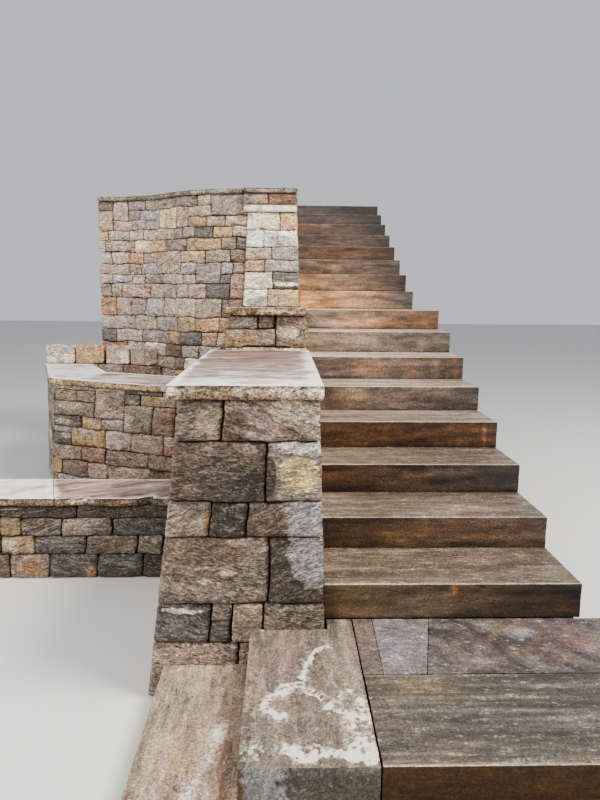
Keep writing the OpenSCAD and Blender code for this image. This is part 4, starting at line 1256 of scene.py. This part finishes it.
bm = start_wall(["pier_head"], 0.02)
head = four_faces(bx0, bx1, by0, UPPER_BACK, HIGH)
head_turn, head_levels = [(True, 0.2)], [BAND_TOP, HIGH]
fill_face(bm, head["front"], head_levels, rng, 0.2, start=head_turn, end=head_turn, cell=0.012,
          rows={0: [(0.46, "pink"), (1.0, "red")]})
fill_face(bm, head["left"], head_levels, rng, 0.2, end=other_side(head_turn))
fill_face(bm, head["right"], head_levels, rng, 0.2, start=other_side(head_turn))
finish_piece(bm, "pier_head_stones", ["pier_head"], laid_stone)
bm = cut_cap(rectangle(bx0, bx1, 2.888, 3.386), HIGH, HIGH_CAP, 5, 0.006, 0.025, tone=0.62)
finish_piece(bm, "pier_cap_slab", ["pier_cap"], cap_finish)

# The wall that runs back along the upper flight behind the pier, as plain as the rest.
rng = random.Random(51)
flank_x = -1.01541
flank = four_faces(flank_x, wall_right, UPPER_BACK, WALL_END, HIGH)
flank_levels = split_run(0.0, HIGH, 0.135, rng, 0.3)
turn = quoins(flank_levels, rng)
bm = start_wall(["flank_wall"])
fill_face(bm, flank["left"], flank_levels, rng, 0.26, start=turn, jump=0.1)
fill_face(bm, flank["back"], flank_levels, rng, 0.2, end=other_side(turn))
fill_face(bm, flank["right"], flank_levels, rng, 0.26,
          skip=lambda s, z0, z1: z1 < stair_z(s + UPPER_BACK) - 0.1)
finish_piece(bm, "flank_wall_stones", ["flank_wall"], laid_stone)
bm = bmesh.new()
for seed, y0, y1 in ((6, UPPER_BACK, 4.65), (7, 4.654, FLIGHT_END - 0.006)):
    join_in(bm, cut_cap(rectangle(flank_x, -0.5794, y0, y1), HIGH, HIGH_CAP, seed, 0.006, 0.03, tone=0.62))
finish_piece(bm, "flank_cap_slabs", ["flank_cap"], cap_finish)

# The terrace wall: a tall leaning wall of small mixed stones that sweeps back from the pier in
# a reverse curve, so its courses bend one way and then the other. Its front is laid as seen.
TURN, BEND_R, THICK, BEND_X = math.radians(46.3976), 0.918398, 0.4, -2.27547
concave, convex = Vector((BEND_X, 2.61960)), Vector((-0.94547, 3.88640))  # the two arcs' centres
run_len = BEND_R * TURN


def around(centre, radius, angle):
    """A point of an arc, as x and y."""
    return centre.x + radius * math.cos(angle), centre.y + radius * math.sin(angle)


def terrace_place(f, z, d):
    s = f * 2 * run_len
    lean = 0.03 * (HIGH - z)
    if s < run_len:
        return Vector((*around(concave, BEND_R - lean + d, math.pi / 2 - s / BEND_R), z))
    meets = max(0.0, -upper_left(min(z, 2.14)) - 0.95547)
    stop = TURN - math.asin(meets / BEND_R)
    angle = 1.5 * math.pi - TURN + (s / run_len - 1) * stop
    return Vector((*around(convex, BEND_R + lean - d, angle), z))


def terrace_back(f, z, d):
    s = (1 - f) * 2 * run_len
    if s < run_len:
        return Vector((*around(concave, BEND_R + THICK - d, math.pi / 2 - s / BEND_R), z))
    angle = 1.5 * math.pi - TURN + (s / run_len - 1) * (TURN - 0.14)
    return Vector((*around(convex, BEND_R - THICK + d, angle), z))


terrace_levels = [
    0.0, 0.12, 0.225, 0.35, 0.455, 0.57, 0.665, 0.775, 0.875, 0.98, 1.085, 1.195, 1.315, 1.47, 1.588,
    1.667, 1.758, 1.855, 1.951, 2.037, 2.12, 2.205, 2.285]
terrace_rows = [
    [(0.09, "slate"), (0.27, "mauve"), (0.5, "mauve"), (0.59, "orange"), (0.75, "slate"), (0.85, "red"),
     (1, "tan")],
    [(0.22, "mauve"), (0.38, "tan"), (0.57, "grey"), (0.71, "ochre"), (0.86, "ochre"), (1, "golden")],
    [(0.09, "orange"), (0.195, "tan"), (0.3, "mauve"), (0.45, "grey"), (0.71, "tan"), (0.87, "olive"),
     (1, "brown")],
    [(0.065, "olive"), (0.135, "mauve"), (0.335, "tan"), (0.56, "tan"), (0.655, "tan"), (0.77, "tan"),
     (0.92, "slate"), (1, "red", 2)],
    [(0.08, "tan"), (0.205, "steel"), (0.295, "pink"), (0.445, "tan"), (0.615, "pink"), (0.705, "tan"),
     (0.86, "mauve", 2), (0.92, "slate"), (1, None)],
    [(0.185, "tan"), (0.265, "pink"), (0.39, "steel"), (0.6, "tan", 2), (0.705, "steel"), (0.86, None),
     (0.925, "grey"), (1, "olive")],
    [(0.075, "grey"), (0.185, "pink"), (0.285, "orange"), (0.395, "mauve"), (0.6, None), (0.76, "ochre"),
     (0.91, "olive"), (1, "brown")],
    [(0.04, "tan"), (0.225, "tan"), (0.342, "straw"), (0.46, "ochre"), (0.635, "mauve"), (0.86, "ochre"),
     (0.945, "olive"), (1, "slate")],
    [(0.055, "orange"), (0.19, "grey"), (0.285, "tan"), (0.54, "tan"), (0.61, "mauve"), (0.695, "tan"),
     (0.81, "slate"), (0.92, "ochre"), (1, "tan")],
    [(0.09, "tan", 2), (0.21, "tan"), (0.305, "pink"), (0.41, "grey"), (0.56, "straw", 2),
     (0.65, "pink", 2), (0.76, "ochre"), (0.875, "tan"), (1, "tan")],
    [(0.09, None), (0.183, "pink", 2), (0.26, "mauve"), (0.41, "steel"), (0.56, None), (0.65, None),
     (0.8, "tan"), (1, "olive", 2)],
    [(0.09, "brown"), (0.183, None), (0.3, "mauve"), (0.528, "tan"), (0.71, "olive"), (0.8, "tan"),
     (1, None)],
]
rng = random.Random(67)
shown = len(terrace_levels) - 1 - len(terrace_rows)
bm = start_wall(["terrace_wall_left", "terrace_wall_right"])
end_face = flat_face((BEND_X, 3.9376), lambda z: (BEND_X, 3.53796 - 0.03 * (HIGH - z)), (1, 0), 0, HIGH)
turn = [(True, deep) for _, deep in quoins(terrace_levels, rng, 0, 0.08, 0.2)]
back_turn = quoins(terrace_levels, rng, 1, 0.12, 0.2)
fill_face(bm, (terrace_place, 2 * run_len), terrace_levels, rng, 0.17, cell=0.015, start=turn,
          rows=dict(enumerate(terrace_rows, shown)), joint=0.005, tone=1.64, stray=0.013)
fill_face(bm, end_face, terrace_levels, rng, 0.16, start=back_turn, end=other_side(turn), tone=1.1)
fill_face(bm, (terrace_back, 2 * run_len), terrace_levels, rng, 0.3, end=other_side(back_turn),
          jump=0.1, tone=1.1)
finish_piece(bm, "terrace_wall_stones", ["terrace_wall_left", "terrace_wall_right"],
             laid_stone)


def arc_slab(centre, r0, r1, a0, a1, seed):
    """A cap slab cut to the curve: out along one arc and back along the other."""
    count = 10
    outline = [around(centre, r1, a0 + (a1 - a0) * n / count) for n in range(count + 1)]
    outline += [around(centre, r0, a1 + (a0 - a1) * n / count) for n in range(count + 1)]
    return cut_cap(outline, HIGH, HIGH_CAP, seed, 0.006, 0.03, tone=0.62)


bm = bmesh.new()
half, gap, out = TURN / 2, 0.004 / BEND_R, 0.024
for k in range(2):
    from_angle = math.pi / 2 - TURN + k * half
    join_in(bm, arc_slab(concave, BEND_R - out, BEND_R + THICK, from_angle, from_angle + half - gap, 8 + k))
for k, stop in ((0, half - gap), (1, half - gap - 0.043)):
    from_angle = 1.5 * math.pi - TURN + k * half
    join_in(bm, arc_slab(convex, BEND_R - THICK, BEND_R + out, from_angle, from_angle + stop, 10 + k))
finish_piece(bm, "terrace_cap_slabs", ["terrace_cap"], cap_finish)

# The ledge at the foot of the terrace wall, and the row of four pillow-faced edging blocks that
# stands on it and holds the bed's soil.
LEDGE_R, LEDGE_H, LEDGE_D = BEND_R - 0.03 * (HIGH - 0.895), 0.895, 0.118
front_r, front_y = LEDGE_R - LEDGE_D, concave.y + LEDGE_R - LEDGE_D
straight = 2 * 0.254 - 0.048
ledge_x = BEND_X - straight
ledge_run = straight + front_r * math.radians(41)
rng = random.Random(71)


def ledge_place(f, z, d):
    s = f * ledge_run - straight
    if s < 0:
        return Vector((concave.x + s, front_y + d, z))
    return Vector((*around(concave, front_r + d, math.pi / 2 - s / front_r), z))


def ledge_back(z):
    return front_y + LEDGE_D - 0.03 * (LEDGE_H - z)


ledge_levels = split_run(0.0, LEDGE_H, 0.12, rng, 0.25)
bm = start_wall(["terrace_ledge"], 0.018)
fill_face(bm, (ledge_place, ledge_run), ledge_levels, rng, 0.2)
end_x = ledge_x + 0.008
ledge_end = flat_face(lambda z: (end_x, ledge_back(z)), (end_x, front_y), (1, 0), 0, LEDGE_H)
fill_face(bm, ledge_end, ledge_levels, rng, 0.2)
ledge_rear = flat_face(lambda z: (-2.2755, ledge_back(z)), lambda z: (ledge_x, ledge_back(z)), (0, -1), 0,
                       LEDGE_H)
fill_face(bm, ledge_rear, ledge_levels, rng, 0.2)
finish_piece(bm, "terrace_ledge_stones", ["terrace_ledge"], laid_stone)


def pillow(length, depth, height, kind, second, seed):
    """One edging block with a soft, tumbled form."""
    bm = saw_grid((-length / 2, -depth, 0), (length / 2, -0.001, height), (14, 7, 10))
    tint, lay, mark = (bm.verts.layers.float_color.new(name) for name in ("tint", "lay", "mark"))
    half_size = Vector((length / 2, depth / 2, height / 2))
    middle_at = Vector((0, -depth / 2, height / 2))
    color, other = bleached(kind, 1.68), bleached(second, 1.68)
    for v in bm.verts:
        q = v.co - middle_at
        t = Vector((q.x / half_size.x, q.y / half_size.y, q.z / half_size.z))
        near = sorted((abs(t.x), abs(t.y), abs(t.z)))
        pull = max(0.0, near[1] - 0.7) / 0.3
        wave = noise.noise_vector(v.co * 14 + Vector((seed, 0, 0)))
        v.co -= q * (0.075 * pull * pull)
        v.co += wave * 0.004
        v.co.z = max(0.0, v.co.z)
        v[tint] = (*color, 1)
        v[lay] = ((seed * 0.37) % 1, 0.3, 0.5, 1)
        v[mark] = (*other, 0.5 + 0.8 * wave.x + 0.25 * t.z)
    for f in bm.faces:
        f.smooth = True
    return bm


pitch, first = 2 * math.atan(0.114 / (front_r - 0.012)), math.atan(0.052 / (front_r - 0.012))
bm = bmesh.new()
for k, (kind, second) in enumerate((("cream", "grey"), ("ochre", "orange"))):
    block = pillow(0.244, LEDGE_D - 0.002, 0.16, kind, second, k + 1)
    stands = (ledge_x + 0.1235 + k * 0.254, front_y + LEDGE_D, LEDGE_H)
    bmesh.ops.translate(block, verts=block.verts, vec=stands)
    join_in(bm, block)
for k, (kind, second) in enumerate((("cream", "tan"), ("tan", "olive"))):
    block = pillow(0.22, LEDGE_D - 0.002, 0.16, kind, second, k + 5)
    swing = Matrix.Rotation(-(first + pitch / 2 + k * pitch), 4, "Z")
    stands = (Matrix.Translation((concave.x, concave.y, LEDGE_H)) @ swing
              @ Matrix.Translation((0, LEDGE_R - 0.012, 0)))
    bmesh.ops.transform(block, matrix=stands, verts=block.verts)
    join_in(bm, block)
finish_piece(bm, "edging_row", ["edging_blocks"], laid_stone[:1])

# The planter: a low wall whose front leg runs in to the cheek wall and whose left leg runs back
# to the ledge round a short turn. Its stones are laid as they are seen on the front.
FRONT_DIR, SIDE_DIR, ROUND, P_HIGH, P_LEAN = math.radians(-23.3), math.radians(-69.0), 0.11, 0.853, 0.04
corner_turn = FRONT_DIR - SIDE_DIR
back_off = ROUND * math.tan(corner_turn / 2)
along_f = Vector((math.cos(FRONT_DIR), math.sin(FRONT_DIR)))
along_s = Vector((math.cos(SIDE_DIR), math.sin(SIDE_DIR)))
in_f, in_s = Vector((-along_f.y, along_f.x)), Vector((-along_s.y, along_s.x))
corner = Vector((-2.345, 2.425))
front_start, side_end = corner + along_f * back_off, corner - along_s * back_off
corner_centre = front_start + in_f * ROUND
side_len = (side_end.y - front_y) / along_s.y
front_len = (-1.046 - front_start.x) / along_f.x
arc_len = ROUND * corner_turn


def planter_place(f, z, d):
    s = f * (side_len + arc_len + front_len)
    out = P_LEAN * (P_HIGH - z) - d
    if s < side_len:
        p = side_end + along_s * (s - side_len) - in_s * out
    elif s < side_len + arc_len:
        angle = SIDE_DIR - math.pi / 2 + (s - side_len) / ROUND
        p = corner_centre + Vector((math.cos(angle), math.sin(angle))) * (ROUND + out)
    else:
        t = (s - side_len - arc_len) / front_len
        stop = (middle_left(z) - front_start.x) / along_f.x
        p = front_start + along_f * (t * stop) - in_f * out
    return Vector((p.x, p.y, z))


rng = random.Random(83)
outer = wander((planter_place, side_len + arc_len + front_len), 0.0, P_HIGH, 0.01)
zero = side_len + arc_len
laid = [
    (-0.05, 0.318, 0.818, 0.853, "grey"), (-0.05, 0.161, 0.738, 0.818, "ochre"),
    (0.161, 0.318, 0.738, 0.818, "mauve"), (-0.06, 0.318, 0.63, 0.738, "olive"),
    (-0.07, 0.202, 0.546, 0.63, "slate"), (0.202, 0.382, 0.546, 0.63, "ochre"),
    (0.382, 0.58, 0.546, 0.63, "mauve"), (-0.08, 0.108, 0.498, 0.546, "grey"),
    (-0.09, 0.108, 0.412, 0.498, "slate"), (0.108, 0.417, 0.412, 0.546, "golden"),
    (0.417, 0.652, 0.412, 0.546, "tan"), (0.652, 0.925, 0.412, 0.546, "tan"),
    (0.318, 0.58, 0.63, 0.853, "tan"), (0.58, 0.885, 0.818, 0.853, "slate"),
    (0.58, 0.708, 0.742, 0.818, "slate"), (0.708, 1.0, 0.742, 0.818, "ochre"),
    (0.58, 0.817, 0.546, 0.742, "olive"), (0.817, 1.0, 0.546, 0.742, "red"),
    (0.885, 1.15, 0.818, 0.853, "tan"), (1.15, 1.37, 0.818, 0.853, "brown"),
    (1.0, 1.2, 0.7, 0.818, "olive"), (1.2, 1.37, 0.7, 0.818, "grey"), (1.0, 1.16, 0.546, 0.7, "tan"),
    (1.16, 1.37, 0.546, 0.7, "brown"), (0.925, 1.14, 0.412, 0.546, "red"),
    (1.14, 1.37, 0.412, 0.546, "olive"),
]
bm = start_wall(["planter_front", "planter_side"])
for s0, s1, z0, z1, kind in laid:
    patch = [(rng.choice(("tan", "mauve", "olive")), rng.random(), rng.random(), 0.3, 0.3)]
    lay_stone(bm, outer, (zero + s0, zero + s1), (z0, z1), kind, rng, 0.013, joint=0.007, marks=patch,
              tone=1.27, worn=1.3)
low_levels = split_run(0.0, 0.412, 0.105, rng, 0.2)
fill_face(bm, outer, low_levels, rng, 0.24)
side_levels = [0.412, 0.498, 0.546, 0.63, 0.738, 0.853]
fill_face(bm, outer, side_levels, rng, 0.22,
          reach=lambda k: (0.0, zero - (0.09, 0.08, 0.07, 0.06, 0.05)[k]))
inner_a = front_start + in_f * 0.44
inner_corner = inner_a + along_f * (in_s.dot(side_end + in_s * 0.32 - inner_a) / in_s.dot(along_f))
inner_front = flat_face(lambda z: tuple(inner_a + along_f * ((middle_left(z) - inner_a.x) / along_f.x)),
                        tuple(inner_corner), (-in_f.x, -in_f.y), 0, P_HIGH)
side_stop = inner_corner + along_s * ((front_y - inner_corner.y) / along_s.y)
inner_side = flat_face(tuple(inner_corner), tuple(side_stop), (-in_s.x, -in_s.y), 0, P_HIGH)
inner_levels = split_run(0.0, P_HIGH, 0.12, rng, 0.2)
fill_face(bm, inner_front, inner_levels, rng, 0.24)
fill_face(bm, inner_side, inner_levels, rng, 0.24)
finish_piece(bm, "planter_stones", ["planter_front", "planter_side"], laid_stone)

reach = 0.028
outer_f, outer_s = front_start - in_f * reach, side_end - in_s * reach
inner_f, inner_s = front_start + in_f * (0.44 + reach), side_end + in_s * (0.32 + reach)
wall_x = middle_left(LEDGE_H) - 0.002
far_outer = outer_f + along_f * ((wall_x - outer_f.x) / along_f.x)
far_inner = inner_f + along_f * ((wall_x - inner_f.x) / along_f.x)
back_outer = outer_s + along_s * ((front_y - outer_s.y) / along_s.y)
back_inner = inner_s + along_s * ((front_y - inner_s.y) / along_s.y)
front_slab = (outer_f + along_f * 0.15, far_outer, far_inner, inner_f + along_f * 0.057)
side_slab = (back_outer, outer_s, outer_f, outer_f + along_f * 0.146, inner_f + along_f * 0.053, back_inner)
bm = bmesh.new()
for seed, outline, tone, wear in ((12, front_slab, 1.0, 0.35), (13, side_slab, 1.3, 0.75)):
    join_in(bm, cut_cap([tuple(p) for p in outline], P_HIGH, LEDGE_H, seed, 0.008, 0.018, tone=tone,
                        worn=lambda co: wear, figure=weathered_edge))
finish_piece(bm, "planter_cap_slabs", ["planter_cap"], cap_finish)

# The garden wall in front of the planter: four low courses under two cap slabs that meet on a
# slant, the front edge of the right one broken away.
rng = random.Random(97)
GARDEN_TOP, GARDEN_CAP = 0.408, 0.45
garden_levels = [0.0, 0.134, 0.236, 0.334, GARDEN_TOP]
garden_rows = [
    [(0.17, "tan"), (0.221, "brown"), (0.39, "tan"), (0.6, "slate"), (0.8, "slate"), (1.0, "dark")],
    [(0.18, "brown"), (0.325, "ochre"), (0.545, "slate"), (0.77, "olive"), (0.88, "olive"), (1.0, "olive")],
    [(0.18, "grey"), (0.272, "ochre"), (0.445, "mauve"), (0.655, "olive"), (0.9, "slate"), (1.0, "tan")],
    [(0.18, "olive"), (0.505, "dark"), (0.91, "dark"), (1.0, "brown")],
]
garden_marks = {
    (0, 2): [("orange", 0.55, 0.4, 0.3, 0.3)],
    (1, 1): [("cream", 0.3, 0.5, 0.3, 0.3)],
    (1, 3): [("brown", 0.3, 0.5, 0.3, 0.4)],
    (2, 2): [("brown", 0.5, 0.7, 0.4, 0.3)],
    (2, 3): [("tan", 0.3, 0.5, 0.4, 0.3)],
    (0, 3): [("orange", 0.9, 0.3, 0.12, 0.3)],
}
garden = four_faces(-2.4, pier_left, lambda z: 1.0 - 0.03 * (GARDEN_TOP - z), 1.32, GARDEN_TOP)
bm = start_wall(["garden_wall"])
turn = [(True, deep * 0.7) for _, deep in quoins(garden_levels, rng)]
rear_turn = [(own, deep * 0.7) for own, deep in quoins(garden_levels, rng, 1)]
fill_face(bm, garden["front"], garden_levels, rng, 0.24, cell=0.012, rows=dict(enumerate(garden_rows)),
          marks=garden_marks, start=turn, joint=0.007, tone=0.92, worn=1.7, stray=0.009)
fill_face(bm, garden["left"], garden_levels, rng, 0.2, start=rear_turn, end=other_side(turn))
fill_face(bm, garden["back"], garden_levels, rng, 0.24, end=other_side(rear_turn))
finish_piece(bm, "garden_wall_stones", ["garden_wall"], laid_stone)
gx1, gy0, gy1 = pier_left(GARDEN_TOP) - 0.001, 0.968, 1.336
broken_front = [(-1.868, gy0), (-1.80, gy0 + 0.006), (-1.735, 0.985), (-1.70, 0.992),
                (-1.66, gy0 + 0.004), (-1.5, gy0), (-1.44, gy0 + 0.003), (-1.41, gy0 + 0.026),
                (-1.376, gy0 + 0.048), (-1.36, gy0 + 0.046), (-1.354, gy0 + 0.012), (-1.33, gy0 + 0.01)]


def garden_cap_figure(co, top):
    along, over = co.x * 0.88 + co.y * 0.48, co.y * 0.88 - co.x * 0.48
    if not top:
        layer = drift(co.x * 11, 3, co.z * 90) + 0.3 * noise.noise(co * 40)
        edge = mix3((0.26, 0.2, 0.17), (0.85, 0.7, 0.56), 0.12 + 0.9 * layer + max(0.0, -1.8 - co.x))
        chips = spot(co.x, co.z, -1.76, 0.435, 0.07, 0.02) * (0.6 + 2 * noise.noise(co * 60))
        edge = mix3(edge, (1.6, 1.55, 1.5), chips)
        return mix3(edge, (0.9, 0.5, 0.26), 0.7 * spot(co.x, co.z, -1.55, 0.43, 0.025, 0.03))
    if co.x < -1.87 - 0.35 * (co.y - gy0):
        return mix3((2.9, 2.8, 2.8), (2.0, 1.94, 1.9), 2 * drift(along * 3, over * 16, 2))
    stripe = abs(drift(along * 1.5, over * 9 + 0.5 * noise.noise(co * 8), 7))
    rock = mix3((1.6, 1.38, 1.24), (0.66, 0.53, 0.47), 0.95 * max(0.0, 1 - stripe / 0.1))
    rock = mix3(rock, (0.8, 0.76, 0.7), 0.8 * max(0.0, co.x + 1.42) / 0.1)
    return mix3(rock, (1.1, 0.45, 0.32), 0.95 * spot(co.x, co.y, -1.886, 1.144, 0.022, 0.05))


bm = cut_cap(broken_front + [(gx1, gy0), (gx1, gy1), (-1.998, gy1)], GARDEN_TOP, GARDEN_CAP, 14, 0.009,
             0.012, cell=0.011, figure=garden_cap_figure)
left_slab = [(-2.432, gy0), (-1.872, gy0), (-2.002, gy1), (-2.432, gy1)]
join_in(bm, cut_cap(left_slab, GARDEN_TOP, GARDEN_CAP, 15, 0.009, 0.015, worn=lambda co: 0.6, cell=0.02,
                    figure=garden_cap_figure))
finish_piece(bm, "garden_cap_slabs", ["garden_cap"], slanting_finish)

# The plain pale floor, soft studio light, and the camera where the photograph was taken.
bm = bmesh.new()
bmesh.ops.create_grid(bm, x_segments=1, y_segments=1, size=30, matrix=Matrix.Translation((0, 0, -0.001)))
floor_mesh = bpy.data.meshes.new("floor")
bm.to_mesh(floor_mesh)
bm.free()
floor = bpy.data.objects.new("floor", floor_mesh)
bpy.context.scene.collection.objects.link(floor)
floor_material = bpy.data.materials.new("floor_paint")
floor_material.use_nodes = True
paint_inputs = floor_material.node_tree.nodes["Principled BSDF"].inputs
paint_inputs["Base Color"].default_value = (0.62, 0.62, 0.62, 1)
paint_inputs["Roughness"].default_value = 0.9
floor_mesh.materials.append(floor_material)

world = bpy.data.worlds.new("studio")
bpy.context.scene.world = world
world.use_nodes = True
sky_inputs = world.node_tree.nodes["Background"].inputs
sky_inputs["Color"].default_value = (0.9, 0.91, 0.94, 1)
sky_inputs["Strength"].default_value = 0.6


def soft_light(name, place, aim, size, power, color):
    data = bpy.data.lights.new(name, "AREA")
    data.shape, data.size, data.energy, data.color = "DISK", size, power, color
    lamp = bpy.data.objects.new(name, data)
    lamp.location = place
    lamp.rotation_mode = "QUATERNION"
    lamp.rotation_quaternion = (Vector(aim) - Vector(place)).to_track_quat("-Z", "Y")
    bpy.context.scene.collection.objects.link(lamp)


soft_light("sky_panel", (3.0, -1.0, 7.0), (-0.8, 2.0, 0.8), 3.0, 760, (1.0, 0.97, 0.92))
soft_light("front_panel", (-4.5, -4.0, 4.0), (-1.2, 2.0, 1.0), 3.5, 420, (1.0, 0.985, 0.96))
bpy.context.scene.view_settings.look = "AgX - Medium High Contrast"

dip = math.radians(9.388998816523626)
heading = math.radians(1.5030168615343218)
roll = math.radians(0.5069596798167469)
look = Vector((math.sin(heading) * math.cos(dip), math.cos(heading) * math.cos(dip), -math.sin(dip)))
level = Vector((math.cos(heading), -math.sin(heading), 0))
rise = level.cross(look)
across = level * math.cos(roll) + rise * math.sin(roll)
upward = rise * math.cos(roll) - level * math.sin(roll)
lens = bpy.data.cameras.new("photo_camera")
lens.lens, lens.sensor_width = 659.7157746 * 36 / 800, 36
camera = bpy.data.objects.new("photo_camera", lens)
turned = Matrix((across, upward, -look)).transposed().to_4x4()
turned.translation = Vector((-0.6714769768971172, -2.3934248605712938, 1.5381034260028472))
camera.matrix_world = turned
bpy.context.scene.collection.objects.link(camera)
bpy.context.scene.camera = camera
